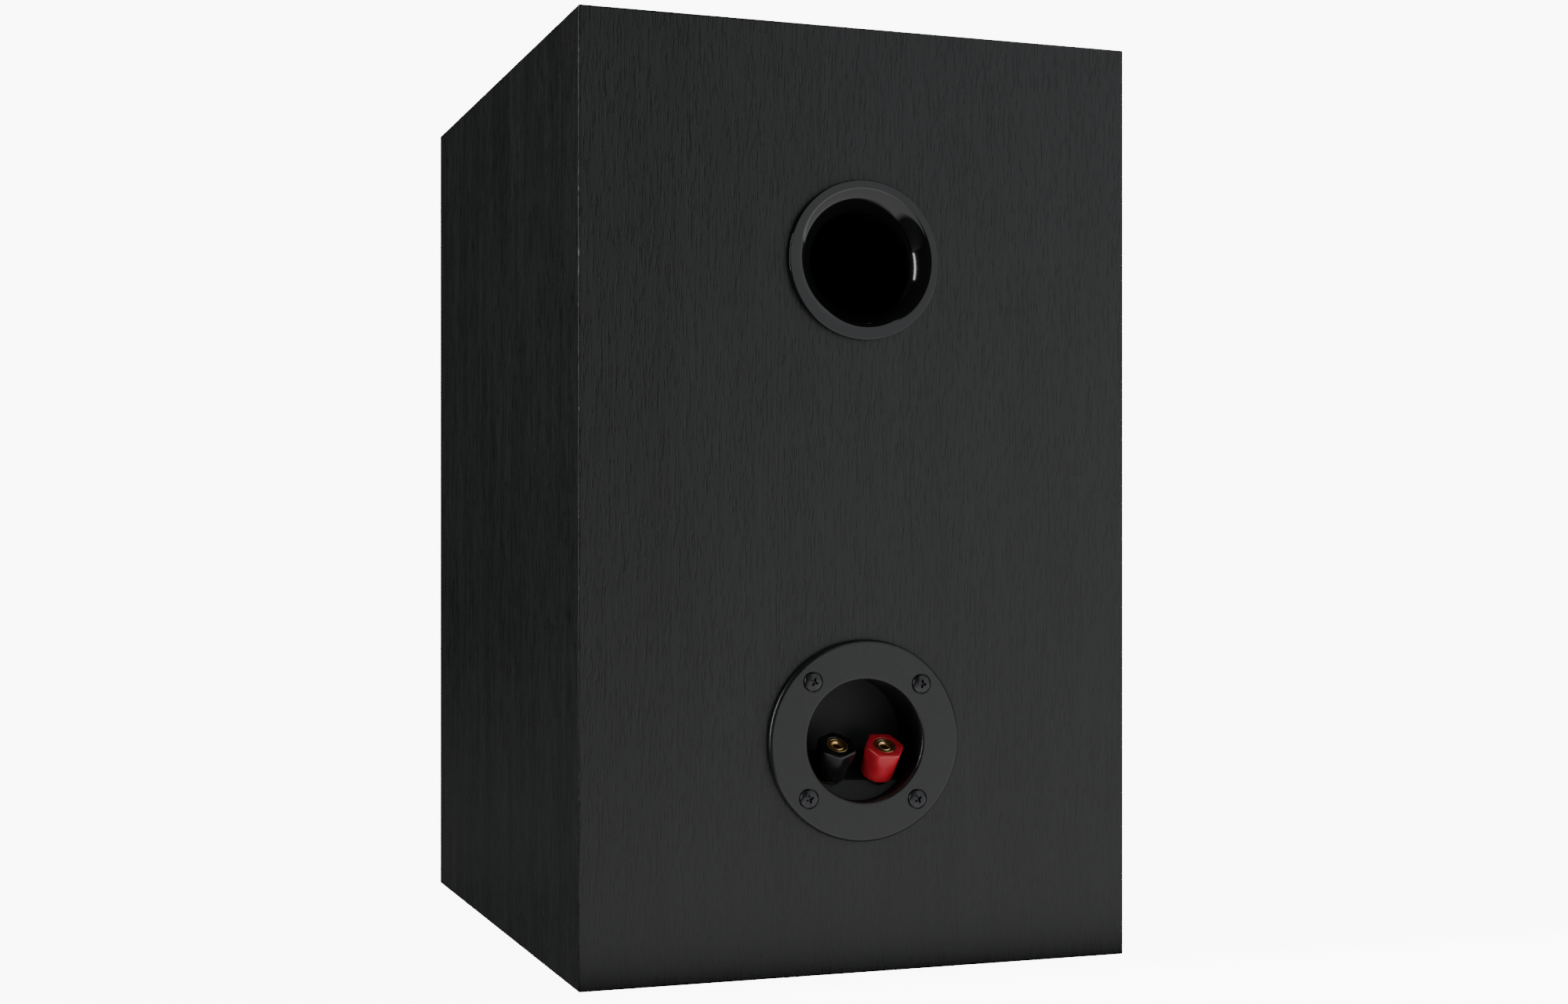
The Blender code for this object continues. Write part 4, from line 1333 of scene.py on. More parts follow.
@dataclass
class TerminalCup:
    """The round cup that holds the binding posts, and its four screws."""

    rim: float = 38.0
    face: float = 2.7
    recess: float = 23.0
    lip: float = 1.2
    barrel: float = 27.0
    depth: float = 24.0
    post_spread: float = 9.525
    post_out: float = -9.8
    post_up: float = -13.43
    post_lean: float = 34.0

    def post_seat(self, cup_seat: Matrix, side: int) -> Matrix:
        """A post's frame, with Z along its axis."""
        lean = Matrix.Rotation(-math.radians(self.post_lean), 4, "X")
        return cup_seat @ shift(side * self.post_spread, self.post_out, self.post_up) @ lean

    def side_cut(self, outline: Profile, cup_seat: Matrix) -> bpy.types.Mesh:
        """A cutter as wide as the cup.

        Args:
            outline: its outward and upward outline.
            cup_seat: the cup's frame.

        Returns:
            The cutter.
        """
        facing_side = Matrix(((0, 0, 1, 0), (1, 0, 0, 0), (0, 1, 0, 0), (0, 0, 0, 1)))
        return placed(prism("side_cut", outline, -35, 35), cup_seat @ facing_side)

    def build_shell(self, cup_seat: Matrix, screws: float) -> None:
        """The flange, the recess with its sloping ledge and the space under the ledge."""
        face = cup_seat @ FACING_REAR
        edge = arc(self.rim - 1.5, self.face - 1.5, 1.5, 90, 0, 10)
        body = [(0, self.face)] + edge + [(self.rim, 0.3), (self.barrel, 0.3),
                                          (self.barrel, -self.depth), (0, -self.depth)]
        cup = placed(revolve("terminal_cup", body, 160), face)
        bend = arc(self.recess + self.lip, self.face - self.lip, self.lip, 90, 180, 6)
        bowl = [(0, 5), (self.recess + self.lip, 5)] + bend + [(self.recess, -22), (0, -22)]
        recess = placed(revolve("recess", bowl, 144), face)
        floor = [(5.0, 26.0), (-22.6, 26.0)]
        floor += softened([(-22.6, 26.0), (-22.6, -4.79), (-6.8, -15.45), (-3.3, -26.0)], 1.1, 5,
                          closed=False)[1:]
        floor += [(5.0, -26.0)]
        recess = carve(recess, [self.side_cut(floor, cup_seat)], "INTERSECT")
        under = placed(revolve("under", [(0, -2), (29, -2), (29, -27), (0, -27)], 96), face)
        below = [(-8.1, -18.2), (-26.5, -5.79), (-26.5, -28), (-4.71, -28)]
        under = carve(under, [self.side_cut(below, cup_seat)], "INTERSECT")
        tools = [recess, under]
        for place in diagonals(screws):
            tools.append(placed(rod("counterbore", place[:2], 3.9, 1.7, 4, 40), face))
            tools.append(placed(rod("screw_hole", place[:2], 2.0, -1, 3, 24), face))
        for side in (-1, 1):
            post = self.post_seat(cup_seat, side)
            tools.append(placed(rod("post_hole", (0, 0), 3.3, -6, 3, 32), post))
            tools.append(placed(rod("foot_rebate", (0, 0), 5.2, -1.5, 1, 40), post))
        cup = carve(cup, tools)
        inwards = face.inverted()
        for polygon in cup.polygons:
            spot = inwards @ polygon.center / MM
            inside = spot.xy.length < self.recess + 0.1 and -22.5 < spot.z < self.face - self.lip
            # faces inside the recess take the darker, duller copy: painted shade in the recess
            polygon.material_index = 1 if inside else 0
        add_piece("terminal_cup_shell", cup, (CUP_SATIN, CUP_TEXTURE_AND_SHADE), Body.CABINET,
                  ["terminal_cup"], sharp=28)

    def build_screws(self, cup_seat: Matrix, screws: float, tools: Toolbox) -> None:
        """The four screws, each turned its own way."""
        under = 2.0
        master = PanScrew(3.55, 1.9, 1.6, 13).mesh()
        mesh = tools.repeater.repeat("terminal_screws", master, SCREW_BLACK,
                                     diagonals(screws, under), roll=180)
        add_piece("terminal_screws", mesh, SCREW_BLACK, Body.CABINET,
                  [f"terminal_screw_{n}" for n in range(1, 5)], cup_seat @ FACING_REAR)


@dataclass
class BindingPost:
    """One binding post: stem, washer, cap, the cap's insert and the nut under the ledge."""

    colour: str
    corner: float
    cap_finish: Finish
    washer_body: Body
    cap_body: Body
    across: float = 7.0
    foot: float = 6.3
    bore: float = 4.3
    low: float = 1.8
    top: float = 14.0
    skirt: float = 1.15
    hollow: float = 5.4
    pitch: float = 1.0

    def ring_radius(self, angle: float, inner: float, power: float) -> float:
        """The cap's radius at an angle.

        Args:
            angle: the angle in degrees.
            inner: half of the width across flats.
            power: 2 for a circle, and more the nearer it is to a hexagon.

        Returns:
            The radius.
        """
        normals = (self.corner + 30, self.corner + 90, self.corner + 150)
        total = sum(abs(math.cos(math.radians(angle - n))) ** power for n in normals)
        return inner * ((1 + 2 * 0.5 ** power) / total) ** (1 / power)

    def cap_rings(self) -> list[tuple[float, float, float]]:
        """Height, half width and power of each ring up the cap's outside and down its bore."""
        edge, mouth, hem = 0.75, 0.35, 0.25
        circle, hexagon, steps = 2.0, 14.0, 14
        bottom = self.low - self.skirt
        rings = [(self.low, self.bore, circle), (self.low, self.hollow, circle),
                 (bottom, self.hollow, circle), (bottom, self.foot - hem, circle)]
        rings += [(bottom + hem - hem * math.cos(a), self.foot - hem + hem * math.sin(a), circle)
                  for a in (math.radians(30), math.radians(60), math.radians(90))]
        start, end = bottom + hem, self.top - edge
        for step in range(1, steps + 1):
            t = step / steps
            power = circle + (hexagon - circle) * (t * t * (3 - 2 * t)) ** 1.6
            rings.append((start + (end - start) * t,
                          self.foot + (self.across - self.foot) * t, power))
        for angle in (20, 40, 60, 80, 90):
            a = math.radians(angle)
            rings.append((end + edge * math.sin(a), self.across - edge * (1 - math.cos(a)),
                          hexagon))
        rings += [(self.top, self.bore + mouth + 0.5, 3.0), (self.top, self.bore + mouth, circle),
                  (self.top - 0.3 * mouth, self.bore + 0.3 * mouth, circle),
                  (self.top - mouth, self.bore, circle)]
        return rings

    def cap(self) -> bpy.types.Mesh:
        """The cap: round at its foot, a rounded hexagon at its top."""
        sides = 96
        shape = bmesh.new()
        loops = []
        for height, inner, power in self.cap_rings():
            loop = []
            for i in range(sides):
                angle = 360 * i / sides
                radius = self.ring_radius(angle, inner, power) * MM
                turn = math.radians(angle)
                loop.append(shape.verts.new((radius * math.cos(turn), radius * math.sin(turn),
                                             height * MM)))
            loops.append(loop)
        for lower, upper in zip(loops, loops[1:] + loops[:1]):
            for i in range(sides):
                shape.faces.new((lower[i - 1], lower[i], upper[i], upper[i - 1]))
        return to_mesh(shape, f"{self.colour}_cap")

    def stem(self, tools: Toolbox) -> bpy.types.Mesh:
        """The threaded stem, bored for a plug, cross-drilled for wire and flatted for the washer."""
        outline = [(0, 2), (1.7, 2), (1.7, 13.0), (2.15, 13.7), (2.45, 13.8), (2.72, 13.5),
                   (2.72, 0.2), (4.8, 0.2), (4.8, -1.2), (2.72, -1.2), (2.72, -9), (0, -9)]
        body = revolve("stem", softened(outline, 0.25), 56)
        height = 11.6
        thread = tools.winder.wind("thread", GOLD, height / self.pitch, (2.7, 2.7), height, 0.19,
                                   sides=6)
        thread.materials.clear()

        def cutters() -> list[bpy.types.Mesh]:
            """A drill for the wire hole and a block for the flat."""
            drill = placed(rod("wire_hole", (0, 0), 1.1, -6, 6, 24),
                           shift(0, 0, 3.4) @ Matrix.Rotation(math.pi / 2, 4, "Y"))
            flat = prism("flat", [(-4, -4.5), (4, -4.5), (4, -2.5), (-4, -2.5)], 0.5, 16.5)
            return [drill, flat]

        thread = carve(placed(thread, shift(0, 0, 0.9)), cutters())
        return joined("stem", [carve(body, cutters()), thread])

    def build(self, seat: Matrix, tools: Toolbox) -> None:
        """Builds the post's five pieces in its frame."""
        colour = self.colour
        add_piece(f"{colour}_stem_threaded", self.stem(tools), GOLD, Body.CABINET,
                  [f"{colour}_post_stem"], seat)
        key, bore = 2.8, 3.2
        edge = math.degrees(math.asin(key / bore))
        rim = arc(0, 0, 5.1, 0, 360 - 7.5, 47)
        washer = layered("washer", rim, [(-0.18, 0.5), (0, 0.65), (0, 1.35), (-0.18, 1.5)])
        washer = carve(washer, [prism("bore", arc(0, 0, bore, -edge, 180 + edge, 30), 0, 2)])
        add_piece(f"{colour}_washer_turned", washer, GOLD, self.washer_body,
                  [f"{colour}_clamp_washer"], seat)
        add_piece(f"{colour}_cap_moulded", self.cap(), self.cap_finish, self.cap_body,
                  [f"{colour}_post_cap"], seat, sharp=50)
        insert = softened([(3.2, 13.9), (4.2, 13.9), (4.2, 2.2), (3.2, 2.2)], 0.2)
        add_piece(f"{colour}_insert_turned", revolve("insert", insert, 64), GOLD, self.cap_body,
                  [f"{colour}_cap_insert"], seat)
        hexagon = [(4.4 * math.cos(math.radians(60 * i)), 4.4 * math.sin(math.radians(60 * i)))
                   for i in range(6)]
        nut = layered("nut", softened(hexagon, 0.6), [(-0.3, -6.3), (0, -6.0), (0, -3.6),
                                                      (-0.3, -3.3)])
        nut = carve(nut, [rod("nut_hole", (0, 0), 3.2, -8, -2, 40)])
        add_piece(f"{colour}_nut_faced", nut, ZINC, Body.CABINET, [f"{colour}_post_nut"], seat)


# Drivers

def behind(outline: Profile) -> Profile:
    """Turns depths behind the front into heights of the driver's frame."""
    return [(radius, -depth) for radius, depth in outline]


@dataclass
class Suspension:
    """A ring that joins a moving diaphragm to the cabinet, in sectors."""

    name: str
    finish: Finish
    tree: SuspensionRing
    diaphragm: Body
    inner: float
    outer: float
    height: float
    level: float
    thickness: float
    sectors: int
    around: int
    across: int
    waves: float = 1.0

    def build(self, seat: Matrix) -> None:
        """Builds the sectors.

        Args:
            seat: the driver's frame.
        """
        sweep = FULL_TURN / self.sectors
        start_radius = self.outer * math.cos(sweep / 2)
        for index in range(self.sectors):
            first = index * sweep
            mesh = self.tree.grow(
                f"{self.name}_{index + 1}", self.finish, Inner_Radius=self.inner * MM,
                Outer_Radius=self.outer * MM, Height=self.height * MM,
                Thickness=self.thickness * MM, Start=first, Sweep=sweep, Around=self.around,
                Across=self.across, Waves=self.waves)
            piece = add_piece(f"{self.name}_{index + 1}", mesh, self.finish, None, (),
                              seat @ shift(0, 0, self.level), sharp=60)
            middle = Vector((math.cos(first + sweep / 2), math.sin(first + sweep / 2), 0))
            seat @ (middle * start_radius * MM)
            seat @ (middle * self.inner * MM)
            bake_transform(piece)


def ring(name: str, inner: float, outer: float, low: float, high: float, finish: Finish,
         body: Body, seat: Matrix, replaced: Sequence[str] = (), sides: int = 96,
         rounding: float = 0.15) -> bpy.types.Object:
    """A flat turned ring with rounded edges.

    Args:
        name: the piece's name.
        inner: its bore's radius.
        outer: its outer radius.
        low: its lower height in the driver's frame.
        high: its upper height.
        finish: its finish.
        body: the body that it rides on.
        seat: the driver's frame.
        replaced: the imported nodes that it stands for.
        sides: how many faces go round.
        rounding: the radius of its edges.

    Returns:
        The piece.
    """
    outline = softened([(inner, high), (outer, high), (outer, low), (inner, low)], rounding)
    return add_piece(name, revolve(name, outline, sides), finish, body, replaced, seat)


@dataclass
class Woofer:
    """The woofer: basket, suspension, diaphragm and motor."""

    screws: float = 78.5
    cone_edge: float = 55.0
    cone_neck: float = 14.2
    roll_centre: float = 64.1
    roll_radius: float = 5.5
    land_level: float = -1.55

    def cone_depth(self, radius: float) -> float:
        """The cone's depth behind the baffle at a radius."""
        share = (self.cone_edge - radius) / (self.cone_edge - self.cone_neck)
        return 2.7 + 27.3 * share ** 0.9

    def build(self, seat: Matrix, tools: Toolbox) -> None:
        """Builds the whole driver in its frame."""
        self.build_basket(seat)
        self.build_suspension(seat, tools)
        self.build_diaphragm(seat, tools)
        self.build_motor(seat)
        mesh = tools.repeater.repeat("woofer_screws", PanScrew(3.5, 2.2, 1.7, 17).mesh(),
                                     SCREW_BLACK, diagonals(self.screws, 0.3), roll=180)
        add_piece("woofer_screws", mesh, SCREW_BLACK, Body.CABINET,
                  [f"woofer_screw_{n}" for n in range(1, 5)], seat)

    def build_basket(self, seat: Matrix) -> None:
        """The stamped frame, with six rounded windows in its wall."""
        outline = behind([(70, 2.2), (76.5, 2.2), (76.5, 0), (82.4, 0), (83, 0.6), (83, 4),
                          (72.8, 4), (72.8, 12), (46, 43), (46, 54.4), (16, 54.4), (16, 52.2),
                          (43.6, 52.2), (43.6, 44.2), (36, 44.2), (36, 42), (44.2, 42),
                          (70, 12.2)])
        basket = revolve("basket", softened(outline, 0.7), 120)
        window = rounded_window(17, -38, -16, 6, 6, 6)
        sideways = Matrix(((0, 0, 1, 0), (1, 0, 0, 0), (0, 1, 0, 0), (0, 0, 0, 1)))
        cutters = []
        for number in range(3):
            turn = Matrix.Rotation(math.radians(60 * number), 4, "Z")
            cutters.append(placed(prism("window", window, -80, 80), turn @ sideways))
        cutters += [rod("screw_hole", place[:2], 2.1, -6, 2, 24) for place in diagonals(self.screws)]
        add_piece("basket_stamped", carve(basket, cutters), STAMPED, Body.CABINET,
                  ["woofer_basket"], seat)

    def build_suspension(self, seat: Matrix, tools: Toolbox) -> None:
        """The rubber roll and the pleated spider, each between two flat lands."""
        wall, level = 0.7, self.land_level
        inner, outer = self.roll_centre - self.roll_radius, self.roll_centre + self.roll_radius
        ring("surround_outer_land", outer - 0.3, 76.2, level - wall / 2, level + wall / 2, RUBBER,
             Body.CABINET, seat, ["woofer_surround"], 144)
        ring("surround_inner_land", 55.3, inner + 0.3, level - wall / 2, level + wall / 2, RUBBER,
             Body.WOOFER, seat, (), 144)
        Suspension("surround_roll", RUBBER, tools.rolls, Body.WOOFER, inner + wall / 2,
                   outer - wall / 2, self.roll_radius - wall / 2, level, wall, 16, 10, 17
                   ).build(seat)
        ring("spider_outer_land", 36.9, 42, -41.45, -40.95, SPIDER_CLOTH, Body.CABINET, seat,
             ["woofer_spider"])
        ring("spider_inner_land", 14, 16.1, -41.0, -40.5, SPIDER_CLOTH, Body.WOOFER, seat)
        Suspension("spider_pleats", SPIDER_CLOTH, tools.pleats, Body.WOOFER, 16, 37, 1.3, -41.0,
                   0.45, 12, 8, 37, 3.0).build(seat)

    def build_diaphragm(self, seat: Matrix, tools: Toolbox) -> None:
        """The cone, the dust cap and the voice coil."""
        steps = 22
        line = [(58.2, 2.7), (56.6, 2.7)]
        for step in range(steps + 1):
            radius = self.cone_edge + (self.cone_neck + 0.2 - self.cone_edge) * step / steps
            line.append((radius, self.cone_depth(radius)))
        line += [(self.cone_neck, 31), (self.cone_neck, 33)]
        cone = revolve("cone", thickened(behind(line), 0.9), 144)
        add_piece("cone_pressed", cone, PAPER, Body.WOOFER, ["woofer_cone"], seat, sharp=50)
        edge, crown, rim = 26.5, 12.5, 20.7
        ball = (edge ** 2 + (rim - crown) ** 2) / (2 * (rim - crown))
        dome = [(edge * i / 14, crown + ball - math.sqrt(ball ** 2 - (edge * i / 14) ** 2))
                for i in range(15)]
        cap = revolve("dust_cap", thickened(behind(dome), 0.7), 96)
        add_piece("dust_cap_pressed", cap, PAPER, Body.WOOFER, ["woofer_dust_cap"], seat, sharp=50)
        former = softened(behind([(12.4, 27), (13.2, 27), (13.2, 62), (12.4, 62)]), 0.1)
        wire, height = 0.26, 10.4
        winding = tools.winder.wind("winding", COPPER, height / (2 * wire), (13.42, 13.42), height,
                                    wire, steps=48, sides=6)
        winding.materials.clear()
        coil = joined("coil", [revolve("former", former, 72), placed(winding, shift(0, 0, -60.7))])
        add_piece("voice_coil_wound", coil, COPPER, Body.WOOFER, ["woofer_voice_coil"], seat)

    def build_motor(self, seat: Matrix) -> None:
        """The top plate, the magnet and the yoke with its pole."""
        ring("woofer_plate_turned", 14.3, 45, -60.7, -54.7, ZINC, Body.CABINET, seat,
             ["woofer_top_plate"], 120, 0.5)
        ring("woofer_magnet_fired", 26, 50, -79, -61, FERRITE, Body.CABINET, seat,
             ["woofer_magnet"], 120, 1.2)
        yoke = softened(behind([(0, 54.7), (11.8, 54.7), (11.8, 79.3), (45, 79.3), (45, 85.3),
                                (0, 85.3)]), 0.7)
        add_piece("woofer_yoke_turned", revolve("yoke", yoke, 120), ZINC, Body.CABINET,
                  ["woofer_yoke"], seat)


@dataclass
class Tweeter:
    """The dome tweeter: faceplate, dome, surround and motor."""

    screws: float = 41.7
    dome_edge: float = 13.0
    crown: float = 1.4
    rim: float = 6.6

    def build(self, seat: Matrix, tools: Toolbox) -> None:
        """Builds the whole driver in its frame."""
        self.build_faceplate(seat)
        self.build_dome(seat, tools)
        plate = behind([(14.1, 8.3), (16.5, 8.3), (16.5, 6.3), (20.3, 6.3), (20.3, 8.3),
                        (33, 8.3), (33, 12.3), (14.1, 12.3)])
        add_piece("tweeter_plate_turned", revolve("plate", softened(plate, 0.3), 96), ZINC,
                  Body.CABINET, ["tweeter_top_plate"], seat)
        ring("tweeter_magnet_fired", 17, 34, -24.6, -12.6, FERRITE, Body.CABINET, seat,
             ["tweeter_magnet"], 96, 0.9)
        yoke = behind([(0, 8.3), (12.2, 8.3), (12.2, 24.9), (31, 24.9), (31, 28.9), (0, 28.9)])
        add_piece("tweeter_yoke_turned", revolve("yoke", softened(yoke, 0.4), 96), ZINC,
                  Body.CABINET, ["tweeter_yoke"], seat)
        mesh = tools.repeater.repeat("tweeter_screws", PanScrew(3.1, 2.0, 1.5, 15).mesh(),
                                     SCREW_BLACK, diagonals(self.screws, 0.3), roll=180)
        add_piece("tweeter_screws", mesh, SCREW_BLACK, Body.CABINET,
                  [f"tweeter_screw_{n}" for n in range(1, 5)], seat)

    def build_faceplate(self, seat: Matrix) -> None:
        """The plate, with a shallow horn round the dome."""
        horn = [(18.2 + 11.8 * math.sin(a), 3.2 - 2.6 * (1 - math.cos(a)))
                for a in (math.radians(90 * i / 16) for i in range(17))]
        edge = [(31, 0), (46.5, 0), (47, 0.5), (47, 4), (35.2, 4), (35.2, 8), (20.7, 8),
                (20.7, 5.2), (18.2, 5.2)]
        plate = revolve("faceplate", softened(behind(horn + edge), 0.35), 120)
        holes = [rod("hole", place[:2], 1.9, -6, 2, 24) for place in diagonals(self.screws)]
        add_piece("faceplate_moulded", carve(plate, holes), CUP_SATIN, Body.CABINET,
                  ["tweeter_faceplate"], seat)

    def build_dome(self, seat: Matrix, tools: Toolbox) -> None:
        """The dome on its former, and the small roll that carries it."""
        edge, depth = self.dome_edge, self.rim - self.crown
        ball = (edge ** 2 + depth ** 2) / (2 * depth)
        radii = [edge * i / 14 for i in range(15)]
        dome = [(r, self.crown + ball - math.sqrt(ball ** 2 - r ** 2)) for r in radii]
        line = behind(dome + [(edge, 8.0), (edge, 14.0)])
        add_piece("dome_pressed", revolve("dome", thickened(line, 0.4), 96), SILK, Body.TWEETER,
                  ["tweeter_dome"], seat, sharp=50)
        wall, level = 0.36, -5.8
        ring("dome_outer_land", 16.7, 20.2, level - wall / 2, level + wall / 2, SILK,
             Body.CABINET, seat, ["tweeter_surround"], 96, 0.1)
        ring("dome_inner_land", 13.3, 14.1, level - wall / 2, level + wall / 2, SILK,
             Body.TWEETER, seat, (), 96, 0.1)
        Suspension("dome_roll", SILK, tools.rolls, Body.TWEETER, 13.9 + wall / 2, 16.9 - wall / 2,
                   1.5 - wall / 2, level, wall, 16, 7, 13).build(seat)


# Grille

@dataclass
class Grille:
    """The pull-off grille: a moulded frame with four pegs, and cloth stretched over it."""

    half_width: float = 104.55
    low: float = 5.0
    high: float = 350.6
    corner: float = 6.0
    back: float = 0.5
    thickness: float = 12.0
    edge: float = 1.6
    cloth: float = 0.55
    slack: float = 0.12

    def outline(self) -> Profile:
        """The frame's outer outline."""
        return rounded_window(self.half_width, self.low, self.high, self.corner, self.corner, 8)

    def corner_layers(self, growth: float, level: float, radius: float,
                      reverse: bool = False) -> list[tuple[float, float]]:
        """The layers of a rounded front edge.

        Args:
            growth: how far the wall stands out from the frame's outline.
            level: the height of the front face.
            radius: the edge's radius.
            reverse: whether the layers run from the wall to the face.

        Returns:
            Growth and height of each layer, from the face to the wall unless reversed.
        """
        steps = 6
        layers = []
        for step in range(steps + 1):
            a = math.pi / 2 * step / steps
            layers.append((growth - radius + radius * math.sin(a),
                           level - radius + radius * math.cos(a)))
        return layers[::-1] if reverse else layers

    def build_frame(self, seat: Matrix, cabinet: Cabinet) -> None:
        """The frame, with rounded window edges and four pegs."""
        front = self.back + self.thickness
        layers = self.corner_layers(0, front, self.edge) + [(0, self.back + 0.4),
                                                            (-0.4, self.back)]
        body = layered("grille_frame", self.outline(), layers)
        windows = (rounded_window(86, 20, 194, 46, 14), rounded_window(86, 204, 337, 14, 46))
        flare = [(1.4, front + 0.5), (1.2, front), (0.4, front - 0.6), (0, front - 1.6),
                 (0, self.back - 1)]
        cutters = [layered("window", window, flare) for window in windows]
        body = carve(body, cutters)
        peg = [(0, -9), (2.6, -9), (3.5, -8), (4, -6.6), (4, -5.6), (3.6, -4.6), (3.6, -2.2),
               (4, -1.4), (4, 3.5), (0, 3.5)]
        pegs = [placed(revolve("peg", softened(peg[::-1], 0.3), 40), shift(x, z, 0))
                for x in (-cabinet.peg_x, cabinet.peg_x) for z in cabinet.peg_zs]
        add_piece("grille_frame_moulded", carve(body, pegs, "UNION"), BLACK_PLASTIC, Body.GRILLE,
                  ["grille_frame"], seat)

    def build_cloth(self, seat: Matrix) -> None:
        """The cloth, from the front face round the edges to the frame's back."""
        front = self.back + self.thickness + self.slack
        outer_radius = self.edge + self.slack + self.cloth
        layers = self.corner_layers(self.slack + self.cloth, front + self.cloth, outer_radius)
        layers += [(self.slack + self.cloth, self.back + 0.9),
                   (self.slack + 0.5 * self.cloth, self.back + 0.5),
                   (self.slack, self.back + 0.9)]
        layers += self.corner_layers(self.slack, front, self.edge + self.slack, True)
        mesh = layered("grille_cloth", self.outline(), layers, mapped=True)
        piece = add_piece("grille_cloth_stretched", mesh, GRILLE_CLOTH, Body.GRILLE,
                          ["grille_cloth"], seat, sharp=60)


# Inside

def smooth_route(points: Sequence[Sequence[float]], spacing: float = 3.0) -> list[Vector]:
    """A smooth curve through points.

    Args:
        points: the points in millimetres.
        spacing: about how far apart the curve's points are.

    Returns:
        The curve's points.
    """
    knots = [Vector(p) for p in points]
    ends = [2 * knots[0] - knots[1]] + knots + [2 * knots[-1] - knots[-2]]
    route = [knots[0]]
    for before, start, end, after in zip(ends, ends[1:], ends[2:], ends[3:]):
        steps = max(1, round((end - start).length / spacing))
        for i in range(1, steps + 1):
            t = i / steps
            route.append(0.5 * (2 * start + (end - before) * t
                                + (2 * before - 5 * start + 4 * end - after) * t ** 2
                                + (3 * start - before - 3 * end + after) * t ** 3))
    return route


@dataclass
class Crossover:
    """The crossover board on the bottom of the cabinet, with its coils, capacitors and resistor."""

    low: float = 21.5
    top: float = 23.1
    gap: float = 0.3
    middle: float = 15.0
    half_width: float = 45.0
    half_length: float = 60.0
    floor: float = 16.3

    def build(self, tools: Toolbox) -> None:
        """Builds the board and everything on it."""
        self.build_board()
        self.build_joints(tools)
        level = self.top + self.gap
        self.build_coil("woofer_inductor", (-18, -12, level), 22, 9, 20, 0.55, tools)
        self.build_coil("tweeter_inductor", (24, -22, level), 14, 6, 14, 0.45, tools)
        self.build_capacitor("tweeter_capacitor", (24, 30, level + 10), 10, 38, tools)
        self.build_capacitor("woofer_capacitor", (-2, 48, level + 6.5), 6.5, 28, tools)
        self.build_resistor((-28, 42, level + 4.5), tools)

    def build_board(self) -> None:
        """The board on four pillars."""
        plate = rounded_window(self.half_width, -self.half_length, self.half_length, 2.5, 2.5, 6)
        layers = [(-0.12, self.low), (0, self.low + 0.15), (0, self.top - 0.15), (-0.12, self.top)]
        body = layered("board", plate, layers)
        pillars = [rod("pillar", (x, y), 3, self.floor, self.low + 0.5, 32)
                   for x in (-40, 40) for y in (-55, 55)]
        add_piece("crossover_board_etched", carve(body, pillars, "UNION"), BOARD_GREEN,
                  Body.CABINET, ["crossover_board"], shift(0, self.middle, 0))

    def build_joints(self, tools: Toolbox) -> None:
        """Solder joints where the parts' legs and the leads meet the board."""
        dome = revolve("joint", [(0, 0.28)] + [(1.3 * math.sin(a), 0.28 * math.cos(a) ** 1.3)
                                               for a in (0.5, 0.9, 1.25)] + [(1.35, 0), (0, 0)], 14)
        spots = [(-8, -38), (8, -38), (-38, -37), (-34, -42), (13, 78), (-13, 78), (40, -22),
                 (24, -41), (-42, -12), (8, -12), (24, 54), (24, 6), (-2, 66), (-2, 30),
                 (-28, 66), (-28, 18)]
        mesh = tools.repeater.repeat("solder_joints", dome, ZINC,
                                     [(x, y, self.top + 0.01) for x, y in spots])
        add_piece("solder_joints", mesh, ZINC, Body.CABINET)

    def build_coil(self, name: str, place: Place, radius: float, bore: float,
                   height: float, wire: float, tools: Toolbox) -> None:
        """An air-cored coil with visible turns.

        Args:
            name: the node that it stands for.
            place: the middle of its foot.
            radius: its outer radius.
            bore: its bore's radius.
            height: its height.
            wire: the wire's radius.
            tools: the shared trees.
        """
        core = revolve("core", softened([(bore, height - wire), (radius - wire, height - wire),
                                         (radius - wire, wire), (bore, wire)], 0.4), 72)
        turns = (height - 2 * wire) / (2 * wire)
        layers = (radius - wire - bore) / (2 * wire)
        side = tools.winder.wind("side", COPPER, turns, (radius - wire, radius - wire),
                                 height - 2 * wire, wire, sides=6)
        end = tools.winder.wind("end", COPPER, layers, (bore + wire, radius - wire), 0.0, wire,
                                sides=6)
        parts = [core, placed(side, shift(0, 0, wire)), placed(end, shift(0, 0, height - wire))]
        for part in parts:
            part.materials.clear()
        add_piece(f"{name}_wound", joined(name, parts), COPPER, Body.CABINET, [name],
                  shift(*place), sharp=60)

    def build_capacitor(self, name: str, place: Place, radius: float,
                        length: float, tools: Toolbox) -> None:
        """A film capacitor lying along Y, with its end seals and legs.

        Args:
            name: the node that it stands for.
            place: its middle.
            radius: its radius.
            length: its length.
            tools: the shared trees.
        """
        half = length / 2
        outline = softened([(0, half - 0.8), (radius - 1.6, half - 0.8), (radius - 1.2, half),
                            (radius, half - 0.6), (radius, 0.6 - half), (radius - 1.2, -half),
                            (radius - 1.6, 0.8 - half), (0, 0.8 - half)], 0.4)
        seat = shift(*place) @ Matrix.Rotation(math.pi / 2, 4, "X")
        add_piece(f"{name}_wrapped", revolve(name, outline, 72), FILM, Body.CABINET, [name], seat)
        legs = []
        for side in (-1, 1):
            end = place[1] + side * (half - 1)
            route = smooth_route([(place[0], end, place[2]), (place[0], end + side * 3, place[2]),
                                  (place[0], end + side * 5, place[2] - 1.5),
                                  (place[0], end + side * 5.6, place[2] - 4),
                                  (place[0], end + side * 5.6, self.top + 0.1)], 1.2)
            legs.append(tools.sleeve.draw("leg", ZINC, route, 0.35, 8))
        add_piece(f"{name}_legs", joined("legs", legs), ZINC, Body.CABINET)

